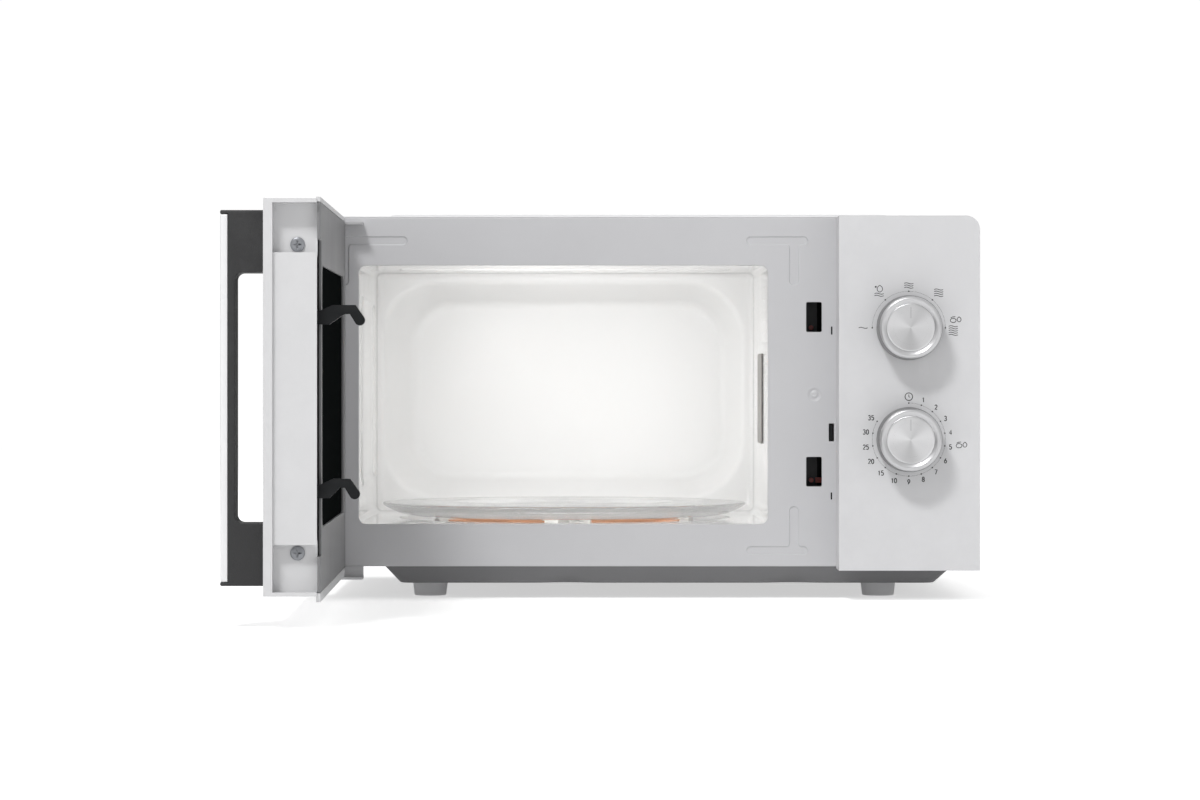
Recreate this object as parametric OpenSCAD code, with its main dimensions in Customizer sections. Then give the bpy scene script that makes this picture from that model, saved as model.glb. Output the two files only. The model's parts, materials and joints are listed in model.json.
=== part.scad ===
// Countertop microwave oven, 20 litre class, with a side-hinged door and two rotary controls.
// The door stands open. X runs to the right, Y to the back and Z up, in millimetres.
// The origin is on the worktop, under the middle of the oven with its door open.

/* [Cabinet] */
// Width over the side walls
cabinet_w = 440; // [435:1:455]
// Height of the top panel above the worktop
cabinet_h = 258.2; // [256:0.2:262]
// Depth from the front frame to the back
cabinet_d = 323; // [320:1:345]
// Height of the front frame's lower edge above the worktop
frame_base = 21.7; // [21:0.1:23]
// Height of the feet
foot_h = 10.3; // [8:0.1:11]
// Thickness of the painted steel sheet
sheet = 0.8; // [0.6:0.1:1]

/* [Cavity] */
// Inner width of the cooking space
cavity_w = 277.3; // [270:0.1:278]
// Inner depth of the cooking space, without the pressed bulge
cavity_d = 289; // [280:1:290]
// Inner height of the cooking space
cavity_h = 175; // [170:1:178]
// Depth of the bulge pressed into the rear wall
bulge_d = 25; // [10:1:26]
// Depth of the round well that the roller ring runs in
well_d = 9.5; // [9.5:0.1:10]

/* [Door] */
// Angle that the door stands open by
door_open = 89.2; // [0:0.1:95]
// Thickness of the door
door_t = 33.5; // [32:0.1:34]
// Space for the fingers behind the handle
finger_gap = 17.4; // [13:0.1:20]

/* [Turntable] */
// Diameter of the glass tray
tray_d = 255; // [245:1:255]
// Diameter of each roller
roller_d = 10.9; // [10.8:0.1:10.9]

/* [Controls] */
// Diameter of the two knobs
knob_d = 43; // [38:0.5:44]
// Height of the knobs above the panel
knob_h = 20; // [18:0.5:22]
// Height of the power knob's axis
power_z = 181.2; // [178:0.1:184]
// Height of the timer knob's axis
timer_z = 107.2; // [104:0.1:110]

/* [Hidden] */
$fn = 48;
hull_fn = 32;
eps = 0.5;

plunger_red = "#b33a2c";
frame_grey = "#c9c9cc";
paint_white = "#ececee";
panel_white = "#e2e2e4";
enamel = "#f3f1ef";
steel = "#b9bbbe";
bright = "#d8d9dc";
dark_grey = "#3a3a3b";
black = "#141516";
copper = "#a5662f";
amber = "#c98f5a";
board_green = "#2f6b46";

// Where the cabinet's middle and its front frame stand in the part's own frame
cab_x = 18;
cab_y = 12;

// Cabinet faces, with x from its middle and y from the front frame
side_l = -cabinet_w / 2;
side_r = cabinet_w / 2;
frame_top = 255.5;
frame_l = side_l + sheet + 0.1;
frame_r = side_r - 1.7;
flange_d = 10;
plate_r = 4.6;
pan_top = 22;

// Cooking space
cav_l = -195;
cav_r = cav_l + cavity_w;
cav_bottom = 50;
cav_top = cav_bottom + cavity_h;
mouth_x = [-193, 80.8];
mouth_z = [50.2, 223.3];
tray_x = -56.2;
tray_y = 145;
well_r = 113;
well_floor = cav_bottom - well_d;
screw_places = [[-205, 240], [-205, 60], [0, 248], [205, 240], [205, 60]];
gland_x = 196;
gland_z = 112;

bulge_mid = [-58.4, 138.6];
bulge_inner_mid = [-54.7, 138.5];

// Door, described closed and then swung open about its hinge
hinge_x = -211;
hinge_y = -10;
door_l = side_l;
door_r = 125.6;
door_in = -1;
door_out = door_in - door_t;
door_z = [19.4, 254];
lip_z = [16, 255];
cover_z = [21.2, 252.2];
cover_y = [-2.8, -1];
edge_r = 9;
pin_r = 2.5;
bracket_x = [-217.5, -190];
running = 0.05;
screw_y = -14.7;
screw_z = [44.7, 227];
hook_x = [108, 114.4];
hook_z = [76.4, 179.2];
hook_reach = [22, 25];
slot_x = [106.6, 117];
slot_z = [[75.3, 95.1], [178.8, 198.8]];
handle_x = [84, 110];
handle_z = [24.9, 247.6];
grip_z = [62.2, 210.5];
grip_t = 4.4;
glass_seat = 6;
handle_cap_t = 4.6;

// Controls
panel_x = [126.6, side_r];
panel_z = [20.4, 255.6];
panel_front = -33.4;
panel_wall = 2.4;
knob_x = 172.8;
shaft_r = 3;

// Driving parts behind the panel
fan_x = 155;
fan_z = 190;
antenna_y = 151;
antenna_z = 195;
core_x = 143;
wheel_track = 98;
wheel_z = well_floor + 0.05 + roller_d / 2;
switch_y = [28, 44.4];
switch_x = [105, 115.4];
switch_z = [[72, 100], [175, 203]];
plunger_z = [79, 182];
plunger_x = 111.2;
plunger_r = 1.6;
monitor_x = 130;

// Shared shapes

// Moves a piece from the cabinet's frame to the part's frame
module in_cabinet() translate([cab_x, cab_y, 0]) children();

// Swings a piece of the door, drawn closed, to where the door stands
module on_door()
    in_cabinet()
        translate([hinge_x, hinge_y, 0])
            rotate([0, 0, -door_open])
                translate([-hinge_x, -hinge_y, 0]) children();

// Box between two ranges on each axis
module block(x, y, z)
    translate([x[0], y[0], z[0]]) cube([x[1] - x[0], y[1] - y[0], z[1] - z[0]]);

module rounded_rect(w, h, r) {
    square([w - 2 * r, h], center = true);
    square([w, h - 2 * r], center = true);
    for (i = [-1, 1], j = [-1, 1])
        translate([i * (w / 2 - r), j * (h / 2 - r)]) circle(r);
}

// Rounded plates whose faces look along Y, X and Z
module plate_y(x, y, z, r)
    translate([(x[0] + x[1]) / 2, y[1], (z[0] + z[1]) / 2])
        rotate([90, 0, 0])
            linear_extrude(y[1] - y[0]) rounded_rect(x[1] - x[0], z[1] - z[0], r);

module plate_x(x, y, z, r)
    translate([x[0], (y[0] + y[1]) / 2, (z[0] + z[1]) / 2])
        rotate([90, 0, 90])
            linear_extrude(x[1] - x[0]) rounded_rect(y[1] - y[0], z[1] - z[0], r);

module plate_z(x, y, z, r)
    translate([(x[0] + x[1]) / 2, (y[0] + y[1]) / 2, z[0]])
        linear_extrude(z[1] - z[0]) rounded_rect(x[1] - x[0], y[1] - y[0], r);

// Round bars along X, Y and Z
module rod_x(x, y, z, r) translate([x[0], y, z]) rotate([0, 90, 0]) cylinder(h = x[1] - x[0], r = r);

module rod_y(x, y, z, r) translate([x, y[0], z]) rotate([-90, 0, 0]) cylinder(h = y[1] - y[0], r = r);

module rod_z(x, y, z, r) translate([x, y, z[0]]) cylinder(h = z[1] - z[0], r = r);

// Turned piece about an axis that points out of the front, from [radius, height] points
module turned_front(x, y, z, outline)
    translate([x, y, z]) rotate([90, 0, 0]) rotate_extrude() polygon(outline);

// Groove of a pressed T, from its bar to the end of its stem
module pressed_tee(bar, stem_x, stem_z, bar_z, stroke, depth) {
    plate_y(bar, [-eps, depth], [bar_z - stroke / 2, bar_z + stroke / 2], stroke / 2 - 0.01);
    plate_y(stem_x, [-eps, depth], stem_z, stroke / 2 - 0.01);
}

// Cabinet

module cabinet_wrapper() color(paint_white) in_cabinet() {
    top_edge = cabinet_h - 1.9;
    corner = 5;
    depth = [1, cabinet_d - 1.5];
    raised_x = [-173, 163];
    raised_y = [24, cabinet_d - 26];
    difference() {
        union() {
            plate_y([side_l, side_r - 0.8], depth, [pan_top - 20, top_edge], corner);
            plate_z(raised_x, raised_y, [top_edge - 1, cabinet_h], 12);
        }
        plate_y([side_l + sheet, side_r - 0.8 - sheet], [0, cabinet_d],
            [pan_top - 21, top_edge - sheet], corner - sheet);
        plate_z([raised_x[0] + sheet, raised_x[1] - sheet], [raised_y[0] + sheet, raised_y[1] - sheet],
            [top_edge - 2, cabinet_h - sheet], 12 - sheet);
        block([side_l - 1, side_r + 1], [0, cabinet_d], [0, pan_top]);
        // Louvres over the transformer and beside the cooking space
        for (i = [0:9]) {
            block([side_r - 4, side_r + 1], [52 + i * 8, 55 + i * 8], [46, 74]);
            block([side_l - 1, side_l + 4], [202 + i * 8, 205 + i * 8], [196, 224]);
        }
    }
}

module rear_plate() color(paint_white) in_cabinet() difference() {
    face = [cabinet_d - 3, cabinet_d - 2.2];
    vent_r = 50;
    union() {
        plate_y([frame_l, frame_r], face, [pan_top, frame_top], plate_r);
        // Turned edge under the wrapper
        difference() {
            plate_y([frame_l, frame_r], [face[0] - flange_d, face[1]], [pan_top, frame_top], plate_r);
            plate_y([frame_l + sheet, frame_r - sheet], [face[0] - flange_d - 1, face[1] + 1],
                [pan_top + sheet, frame_top - sheet], plate_r - sheet);
        }
    }
    // Air intake in front of the fan
    for (i = [-5:5]) {
        half = sqrt(vent_r * vent_r - 81 * i * i);
        block([fan_x - half, fan_x + half], [face[0] - 1, face[1] + 1],
            [fan_z + 9 * i - 1.6, fan_z + 9 * i + 1.6]);
    }
    // Steam outlet behind the cooking space
    for (i = [0:8], x = [-150, -110, -70])
        block([x, x + 32], [face[0] - 1, face[1] + 1], [182 + 7 * i, 185 + 7 * i]);
    rod_y(gland_x, [face[0] - 1, face[1] + 1], gland_z, 8);
    for (p = screw_places) rod_y(p[0], [face[0] - 1, face[1] + 1], p[1], 2);
}

module base_pan() color(steel) in_cabinet() difference() {
    low_x = [-165.6, 192.9];
    high_x = [-176, 205];
    low_y = [9, 300];
    high_y = [1.2, 308];
    union() {
        hull() {
            block(low_x, low_y, [foot_h, foot_h + 0.1]);
            block(high_x, high_y, [frame_base - sheet, frame_base]);
        }
        block([frame_l + 1, frame_r - 1], [60, cabinet_d - 4], [frame_base - sheet, frame_base]);
        block([side_r - 15, frame_r - 1], [1.2, 61], [frame_base - sheet, frame_base]);
    }
    hull() {
        block([low_x[0] + sheet, low_x[1] - sheet], [low_y[0] + sheet, low_y[1] - sheet],
            [foot_h + sheet, foot_h + sheet + 0.1]);
        block([high_x[0] + sheet, high_x[1] - sheet], [high_y[0] + sheet, high_y[1] - sheet],
            [frame_base + eps, frame_base + eps + 0.1]);
    }
    // Air slots under the transformer
    for (i = [0:7])
        block([126 + i * 9, 130 + i * 9], [150, 190], [foot_h - 1, foot_h + 2]);
}

module feet() color(panel_white) in_cabinet()
    for (x = [-147, 158], y = [50, 270]) difference() {
        translate([x, y, 0]) cylinder(h = foot_h, r1 = 10.7, r2 = 12);
        rod_z(x, y, [-1, 4], 6);
    }

module case_screws() color(steel) in_cabinet() for (p = screw_places) {
    rod_y(p[0], [cabinet_d - 2.2, cabinet_d - 0.4], p[1], 3.9);
    rod_y(p[0], [cabinet_d - 9, cabinet_d - 2.1], p[1], 1.95);
}

module front_plate() color(frame_grey) in_cabinet() difference() {
    union() {
        plate_y([frame_l, frame_r], [0, sheet], [frame_base, frame_top], plate_r);
        difference() {
            plate_y([frame_l, frame_r], [0, flange_d], [frame_base, frame_top], plate_r);
            plate_y([frame_l + sheet, frame_r - sheet], [-1, flange_d + 1],
                [frame_base + sheet, frame_top - sheet], plate_r - sheet);
        }
    }
    plate_y(mouth_x, [-1, 2], mouth_z, 5);
    for (z = slot_z) plate_y(slot_x, [-1, 2], z, 0.8);
    // Pressed stiffening grooves and the locating dimple
    pressed_tee([66.5, 107.8], [95.1, 101.8], [209.8, 241], 239.9, 6, 0.4);
    pressed_tee([66.5, 107.8], [95.1, 101.8], [31.3, 62.2], 32.4, 6, 0.4);
    pressed_tee([-206, -160.5], [-206, -199.6], [209.8, 241], 239.9, 6, 0.4);
    difference() {
        rod_y(112.2, [-eps, 0.4], 136.9, 4.8);
        rod_y(112.2, [-eps, 0.4], 136.9, 1.6);
    }
    // Small slots beside the control panel
    block([123.2, 124.2], [-1, 2], [177, 182.5]);
    block([121.7, 125.2], [-1, 2], [105.5, 117.5]);
    block([123, 124], [-1, 2], [66.5, 71.3]);
    // Window for the controls
    plate_y([138, 209], [-1, 2], [78, 212], 3);
    // Slots for the hinge brackets
    block([bracket_x[0] - 0.1, bracket_x[1] + 0.1], [-1, 2], [250.1, 252.3]);
    block([bracket_x[0] - 0.1, bracket_x[1] + 0.1], [sheet, 2.5], [frame_base - 1, frame_base + 4]);
}

module cavity_liner() color(enamel) in_cabinet() difference() {
    outer_x = [cav_l - sheet, cav_r + sheet];
    depth = [sheet, cavity_d];
    union() {
        difference() {
            plate_y(outer_x, depth, [cav_bottom - sheet, cav_top + sheet], 5);
            plate_y([cav_l, cav_r], [0, cavity_d + 1], [cav_bottom, cav_top], 4.2);
            rod_z(tray_x, tray_y, [cav_bottom - 2, cav_bottom + 0.2], well_r + 4);
        }
        // Round well with a sloping wall
        translate([tray_x, tray_y, 0]) rotate_extrude() polygon([
            [7, well_floor - sheet], [well_r + sheet, well_floor - sheet],
            [well_r + 5 + sheet, cav_bottom - sheet], [well_r + 5 + sheet, cav_bottom],
            [well_r + 4, cav_bottom], [well_r, well_floor], [7, well_floor]]);
    }
    // Opening under the mica cover
    block([cav_r - 1, cav_r + 2], [125, 176], [108, 159]);
    // Perforations for the lamp and the air inlet
    for (i = [0:5], j = [0:8])
        rod_x([cav_r - 1, cav_r + 2], 64 + 8 * i, 150 + 7.5 * j, 1.3);
    // Steam outlet
    for (i = [0:3], j = [0:3])
        rod_x([cav_l - 2, cav_l + 1], 24 + 8 * i, 192 + 7 * j, 1.3);
}

// Solid of the bulge pressed into the rear wall, this much wider and this deep
module bulge(grow, back) {
    outer = [266.5 + grow, 158.5 + grow];
    inner = [231 + grow, 130.2 + grow];
    hull() {
        translate([bulge_mid[0], cavity_d + 0.1, bulge_mid[1]]) rotate([90, 0, 0])
            linear_extrude(0.1) rounded_rect(outer[0], outer[1], 44, $fn = hull_fn);
        translate([bulge_inner_mid[0], cavity_d + back, bulge_inner_mid[1]]) rotate([90, 0, 0])
            linear_extrude(0.1) rounded_rect(inner[0], inner[1], 30, $fn = hull_fn);
    }
}

module cavity_back() color(enamel) in_cabinet() {
    difference() {
        union() {
            block([cav_l - sheet, cav_r + sheet], [cavity_d, cavity_d + sheet],
                [cav_bottom - sheet, cav_top + sheet]);
            bulge(2 * sheet, bulge_d + sheet);
        }
        bulge(0, bulge_d);
        block([-250, 150], [cavity_d - 2, cavity_d], [0, 300]);
    }
}

module mica_cover() color("#6d6a66") in_cabinet()
    plate_x([cav_r - 1.1, cav_r - 0.3], [119, 182], [102, 165], 3);

module waveguide() color(steel) in_cabinet() difference() {
    x = [cav_r + sheet, cav_r + 35.8];
    block(x, [114, 188], [98, 226]);
    block([x[0] - 1, x[1] - sheet], [114.8, 187.2], [98.8, 225.2]);
    rod_x([x[1] - 2, x[1] + 1], antenna_y, antenna_z, 12);
}

module upper_hinge_bracket() color(bright) in_cabinet() difference() {
    union() {
        block(bracket_x, [-16, 2.3], [250.2, 252.2]);
        block(bracket_x, [sheet, 2.3], [236, 252.2]);
    }
    rod_z(hinge_x, hinge_y, [249, 253], pin_r);
}

module lower_hinge_bracket() color(bright) in_cabinet() difference() {
    union() {
        block(bracket_x, [-16, 2.3], [13.6, 15.4]);
        block(bracket_x, [sheet, 2.3], [13.6, 44]);
    }
    rod_z(hinge_x, hinge_y, [13, 16], pin_r);
}

module hinge_pins() color(bright) in_cabinet() {
    rod_z(hinge_x, hinge_y, [244, 254.4], pin_r);
    rod_z(hinge_x, hinge_y, [12.4, 26], pin_r);
}

// Door

// Region that the upper hinge bracket sweeps through the door
module bracket_sweep(z) {
    rod_z(hinge_x, hinge_y, z, 10.6);
    intersection() {
        rod_z(hinge_x, hinge_y, z, 24.8);
        block([hinge_x - 30, hinge_x + 30], [hinge_y - 9, hinge_y + 30], z);
    }
}

// What the door loses so that its hinge edge clears the front frame
module hinge_corner() difference() {
    block([door_l - 2, hinge_x], [hinge_y, 2], [0, 270]);
    rod_z(hinge_x, hinge_y, [-1, 271], edge_r);
}

module door_frame() color(panel_white) on_door() {
    wall = 2.4;
    channel_x = door_r - 3;
    strip_y = door_out + 5.4;
    pocket_x = 114.8;
    pocket_z = [[door_z[0] + wall, 49.7], [222.2, door_z[1] - wall]];
    lip_end = 121.8;
    window_x = [-186, 70];
    window_z = [44, 232];
    difference() {
        union() {
            difference() {
                block([door_l, door_r], [door_out, -3], door_z);
                block([door_l + wall, channel_x - wall], [door_out + 3, 0],
                    [door_z[0] + wall, door_z[1] - wall]);
            }
            // Boxes behind the two screw pockets
            for (z = pocket_z)
                block([pocket_x - wall, channel_x], [door_out + 1, -3], [z[0] - wall, z[1] + wall]);
            // Hinge bosses
            rod_z(hinge_x, hinge_y, [door_z[0], 29], edge_r);
            rod_z(hinge_x, hinge_y, [238, door_z[1]], edge_r);
            block([door_l, hinge_x], [-20, hinge_y], [door_z[0], 29]);
            block([door_l, hinge_x], [-20, hinge_y], [238, door_z[1]]);
            // Rib that the latch spring pushes against
            block([104.6, channel_x - 1], [-22, -6], [219.2, 221]);
            // Lips above and below the inner cover
            block([door_l, lip_end], [-3.5, door_in], [cover_z[1], lip_z[1]]);
            block([door_l, lip_end], [-3.5, door_in], [lip_z[0], cover_z[0]]);
        }
        // Room for the inner cover
        block([door_l - 1, door_r + 1], [-3, 1], cover_z);
        // Recess and opening for the outer glass
        plate_y([window_x[0], window_x[1]], [door_out - 1, door_out + 1.6], window_z, 8);
        plate_y([window_x[0] + glass_seat, window_x[1] - glass_seat], [door_out, 0],
            [window_z[0] + glass_seat, window_z[1] - glass_seat], 4);
        // Channel along the free edge, with a deeper pocket at each end
        block([channel_x, door_r + 1], [strip_y, 0], [door_z[0] + wall, door_z[1] - wall]);
        for (z = pocket_z) block([pocket_x, door_r], [strip_y, -3], z);
        for (z = screw_z) rod_x([pocket_x - 4, pocket_x + 1], screw_y, z, 2.1);
        rod_z(hinge_x, hinge_y, [10, 35], pin_r + running);
        rod_z(hinge_x, hinge_y, [237, 256], pin_r + running);
        bracket_sweep([249.6, 252.8]);
        hinge_corner();
    }
}

module door_glass() color(black) on_door()
    plate_y([-185.8, 69.8], [door_out, door_out + 1.55], [44.2, 231.8], 7.8);

module door_plate() color(steel) on_door() difference() {
    x = [-203, 103];
    z = [30, 236];
    union() {
        block(x, [-8.2, -7.4], z);
        difference() {
            block(x, [-22, -7.4], z);
            block([x[0] + sheet, x[1] - sheet], [-23, -7], [z[0] + sheet, z[1] - sheet]);
        }
    }
    // Rows of light holes behind the window, one in each place of a wide grid
    for (i = [0:11], j = [0:6]) rod_y(-178 + 22 * i, [-9, -7], 68 + 22.5 * j, 2);
}

module choke_cover() color("#9d9da0") on_door() difference() {
    union() {
        block([door_l, 106], cover_y, cover_z);
        block([105, 121.8], cover_y, [229.7, cover_z[1]]);
        block([105, 121.8], cover_y, [cover_z[0], 42.6]);
    }
    plate_y([-199, 98], [-4, 0], [59, 215], 10);
    bracket_sweep([249.6, 252.8]);
    hinge_corner();
}

module inner_film() color(black) on_door()
    plate_y([-201, 100], [-3.6, -2.85], [57, 217], 11);

module door_screws() color(steel) on_door() for (z = screw_z) {
    rod_x([114.85, 116.6], screw_y, z, 4.35);
    rod_x([108.9, 114.85], screw_y, z, 2);
}

// One hook in the plane of Y and Z, with its tip this far out of the door
module hook(z, reach) translate([hook_x[0], 0, z]) rotate([90, 0, 90])
    linear_extrude(hook_x[1] - hook_x[0]) {
        translate([reach - 3.1, 3.1]) circle(3.1);
        polygon([[-9, 0.6], [4, 0.6], [reach - 12, 6.8], [reach - 9, 6.8], [reach - 5.8, 1.6],
            [reach - 0.35, 4.6], [reach - 5.6, 12.1], [6, 12.1], [-1.4, 8.7], [-9, 8.7]]);
    }

module door_latch() color(black) on_door() {
    for (i = [0, 1]) hook(hook_z[i], hook_reach[i]);
    block(hook_x, [-21, -9], [66, 204]);
}

module latch_spring() {
    coil_r = 2.6;
    wire_r = 0.5;
    turns = 6;
    steps = 14;
    sides = 6;
    low = 204.7;
    rise = 13.9;
    function ring_point(i, j) =
        let (a = 360 * i / steps, b = 360 * j / sides, r = coil_r + wire_r * cos(b))
        [111.2 + r * cos(a), -15 + r * sin(a), low + rise * i / (turns * steps) + wire_r * sin(b)];
    last = turns * steps;
    color(bright) on_door() polyhedron(
        points = [for (i = [0:last], j = [0:sides - 1]) ring_point(i, j)],
        faces = concat(
            [[for (j = [0:sides - 1]) j]],
            [for (i = [0:last - 1], j = [0:sides - 1])
                [i * sides + j, (i + 1) * sides + j, (i + 1) * sides + (j + 1) % sides,
                    i * sides + (j + 1) % sides]],
            [[for (j = [sides - 1:-1:0]) last * sides + j]]));
}

module handle_grip() color(dark_grey) on_door() difference() {
    bar_y = [door_out - finger_gap - grip_t, door_out - 0.05];
    plate_y(handle_x, bar_y, handle_z, 3);
    block([handle_x[0] - 1, handle_x[1] + 1], [door_out - finger_gap, door_out + 1], grip_z);
}

module handle_cover() color(paint_white) on_door()
    plate_y(handle_x, [door_out - finger_gap - grip_t - handle_cap_t, door_out - finger_gap - grip_t],
        handle_z, 3);

// Door latch board and switches

module latch_board() color(black) in_cabinet() {
    difference() {
        block([98.5, 124.5], [sheet, 46.5], [62, 212]);
        block([101, 122], [0, 44.5], [64.5, 209.5]);
        // Window for the monitor switch's slider
        block([121, 125], [18, 31], [74, 84]);
    }
    // Ledges that the hooks pass over
    for (z = hook_z) block([100.9, 122.1], [3, 12], [z - 8, z - 0.7]);
}

// Small snap-action switch with a bore for its plunger
module snap_switch(x, z, plunger) difference() {
    union() {
        block(x, switch_y, z);
        for (t = [4, 13, 22]) block([x[0] + 4, x[1] - 4], [switch_y[0] + 4, switch_y[0] + 10],
            [z[1] - t / 22, z[1] + 0.01 * t]);
    }
    rod_y(plunger[0], [switch_y[0] - 1, 35], plunger[1], plunger_r + running);
    for (i = [z[0] + 14, z[0] + 23]) rod_x([x[0] - 1, x[1] + 1], 40, i, 1.5);
}

module primary_switch() color(black) in_cabinet()
    snap_switch(switch_x, switch_z[1], [plunger_x, plunger_z[1]]);

module secondary_switch() color(black) in_cabinet()
    snap_switch(switch_x, switch_z[0], [plunger_x, plunger_z[0]]);

module monitor_switch() color(dark_grey) in_cabinet()
    snap_switch([monitor_x - 5.2, monitor_x + 5.2], switch_z[0], [monitor_x, plunger_z[0]]);

// Plunger whose tip waits just behind the closed hook
module plunger(z, reach) rod_y(plunger_x, [reach + 0.3, 33], z, plunger_r);

module primary_plunger() color(plunger_red) in_cabinet() plunger(plunger_z[1], hook_reach[1]);

module secondary_plunger() color(plunger_red) in_cabinet() plunger(plunger_z[0], hook_reach[0]);

module monitor_slider() color(plunger_red) in_cabinet() {
    rod_y(monitor_x, [24.6, 33], plunger_z[0], plunger_r);
    block([114, monitor_x + 1.6], [hook_reach[0] + 0.3, 24.7], [77.2, 80.8]);
}

// Microwave generator

module magnetron() color(steel) in_cabinet() difference() {
    x0 = cav_r + 35.8;
    union() {
        rod_x([x0 - 23, x0 + 1], antenna_y, antenna_z, 7);
        block([x0, x0 + 1.5], [104, 198], [150, 240]);
        // Yoke frame, open to the airflow
        difference() {
            block([x0 + 1.5, x0 + 58], [111, 191], [152, 238]);
            block([x0 + 3.5, x0 + 56], [110, 192], [154, 236]);
        }
        rod_x([x0 + 1, x0 + 57], antenna_y, antenna_z, 19);
        for (i = [0:6]) block([x0 + 9 + 6.5 * i, x0 + 10 + 6.5 * i], [113, 189], [153, 237]);
        // Filter box with its feed-through capacitor
        block([x0 + 58, x0 + 92], [121, 181], [165, 225]);
        block([x0 + 66, x0 + 84], [135, 167], [225, 236]);
    }
    for (y = [108.5, 193.5], z = [156, 234]) rod_x([x0 - 1, x0 + 2], y, z, 2.2);
}

// Laminated core with a window on each side of its middle limb
module transformer_core() color("#7c7f83") in_cabinet() difference() {
    union() {
        block([core_x - 43, core_x + 43], [70, 130], [13.3, 83.3]);
        block([core_x - 48, core_x + 48], [68, 132], [foot_h + sheet, 13.3]);
    }
    for (side = [-1, 1]) translate([core_x + side * 21.5, 0, 0])
        block([-7.5, 7.5], [69, 131], [25.3, 71.3]);
}

module transformer_coils() color(copper) in_cabinet()
    for (z = [[25.6, 46.6], [49.6, 71]]) difference() {
        plate_z([core_x - 28.6, core_x + 28.6], [56, 144], z, 8);
        block([core_x - 14.1, core_x + 14.1], [69.9, 130.1], [z[0] - 1, z[1] + 1]);
    }

module hv_capacitor() color(steel) in_cabinet() {
    plate_x([105, 195], [205, 239], [16, 70], 16.9);
    plate_x([103, 105], [206, 238], [17, 69], 15.9);
    for (z = [34, 52]) block([195, 203], [221.6, 222.4], [z - 3, z + 3]);
}

module capacitor_clip() color(steel) in_cabinet() difference() {
    union() {
        plate_x([140, 154], [204, 240], [15, 71], 17.9);
        block([140, 154], [222, 256], [foot_h + sheet, 12.5]);
        block([140, 154], [226, 227], [12, 18]);
    }
    plate_x([139, 155], [205, 239], [16, 70], 16.9);
}

module hv_diode() color(black) in_cabinet() {
    rod_y(209, [150, 170], 30, 3.4);
    rod_y(209, [169.5, 186], 30, 0.8);
    rod_z(209, 185.3, [22.5, 30.5], 0.8);
    plate_z([204, 214], [178, 192], [frame_base, frame_base + 1.2], 2);
}

module fan_shroud() color(dark_grey) in_cabinet() difference() {
    ring_r = 57;
    union() {
        difference() {
            plate_y([95, 215], [264, 266.5], [129.5, 250.5], 6);
            rod_y(fan_x, [263, 267], fan_z, ring_r - 3);
        }
        difference() {
            rod_y(fan_x, [266, 293], fan_z, ring_r + 2);
            rod_y(fan_x, [265, 294], fan_z, ring_r);
        }
        // Duct to the magnetron's fins
        difference() {
            block([fan_x - 57, fan_x + 57], [200, 264.5], [fan_z - 57, fan_z + 57]);
            block([fan_x - 55.4, fan_x + 55.4], [199, 265], [fan_z - 55.4, fan_z + 55.4]);
        }
        // Arms that carry the motor
        for (a = [90, 210, 330]) translate([fan_x, 289, fan_z]) rotate([0, a, 0])
            block([14, ring_r + 1], [0, 3], [-4, 4]);
        rod_y(fan_x, [289, 293], fan_z, 18);
    }
    rod_y(fan_x, [289, 294], fan_z, 5);
}

module fan_motor() color("#8a8d91") in_cabinet() difference() {
    union() {
        block([127, 183], [297, 313], [166, 212]);
        rod_x([137, 173], 305, 156, 11);
        block([127, 183], [293.1, 297], [fan_z - 7, fan_z + 7]);
        rod_y(fan_x, [313, 316], fan_z, 8);
    }
    rod_y(fan_x, [292, 312], fan_z, 1.6 + running);
}

module fan_blade() color("#d9dadd") in_cabinet() {
    rod_y(fan_x, [270, 288.5], fan_z, 12);
    rod_y(fan_x, [268, 310], fan_z, 1.6);
    intersection() {
        rod_y(fan_x, [271, 288], fan_z, 53);
        for (i = [0:4]) translate([fan_x, 279.5, fan_z]) rotate([0, 72 * i, 0]) rotate([28, 0, 0])
            block([8, 60], [-0.7, 0.7], [-17, 17]);
    }
}

module cavity_lamp() color("#f4e6bf") in_cabinet() {
    translate([98, 86, 172]) sphere(9.5);
    rod_z(98, 86, [172, 188], 9.5);
    rod_z(98, 86, [188, 203], 6.6);
}

module lamp_holder() color(panel_white) in_cabinet() difference() {
    union() {
        block([cav_r + sheet, 112], [72, 100], [196, 216]);
        block([cav_r + sheet, cav_r + sheet + 1.4], [66, 106], [190, 222]);
    }
    rod_z(98, 86, [195, 203.05], 6.65);
}

module filter_board() color(board_green) in_cabinet() {
    block([110, 186], [300, 301.6], [36, 96]);
    for (x = [116, 180], z = [42, 90]) rod_y(x, [301.5, cabinet_d - 3], z, 2.5);
    difference() {
        rod_y(130, [284, 300.1], 60, 12);
        rod_y(130, [283, 299], 60, 6);
    }
    block([148, 166], [286, 300.1], [46, 60]);
    block([148, 166], [286, 300.1], [66, 80]);
    rod_x([118, 142], 294, 84, 2.6);
    for (x = [120, 137]) block([x, x + 3], [294, 300.1], [82, 86]);
}

module thermal_cutout() color(black) in_cabinet() {
    rod_z(40, 200, [cav_top + sheet, cav_top + 5.8], 8.5);
    for (x = [34, 46]) block([x - 0.4, x + 0.4], [197, 203], [cav_top + 5.5, cav_top + 12]);
}

// Turntable

module turntable_motor() color(steel) in_cabinet() difference() {
    union() {
        rod_z(tray_x, tray_y, [19, well_floor - sheet - 1], 24.5);
        block([tray_x - 31, tray_x + 31], [tray_y - 5, tray_y + 5],
            [well_floor - sheet - 1.01, well_floor - sheet]);
        block([tray_x - 8, tray_x + 8], [tray_y + 23, tray_y + 33], [21, 35]);
    }
    rod_z(tray_x, tray_y, [24, 50], shaft_r + running);
}

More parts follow.
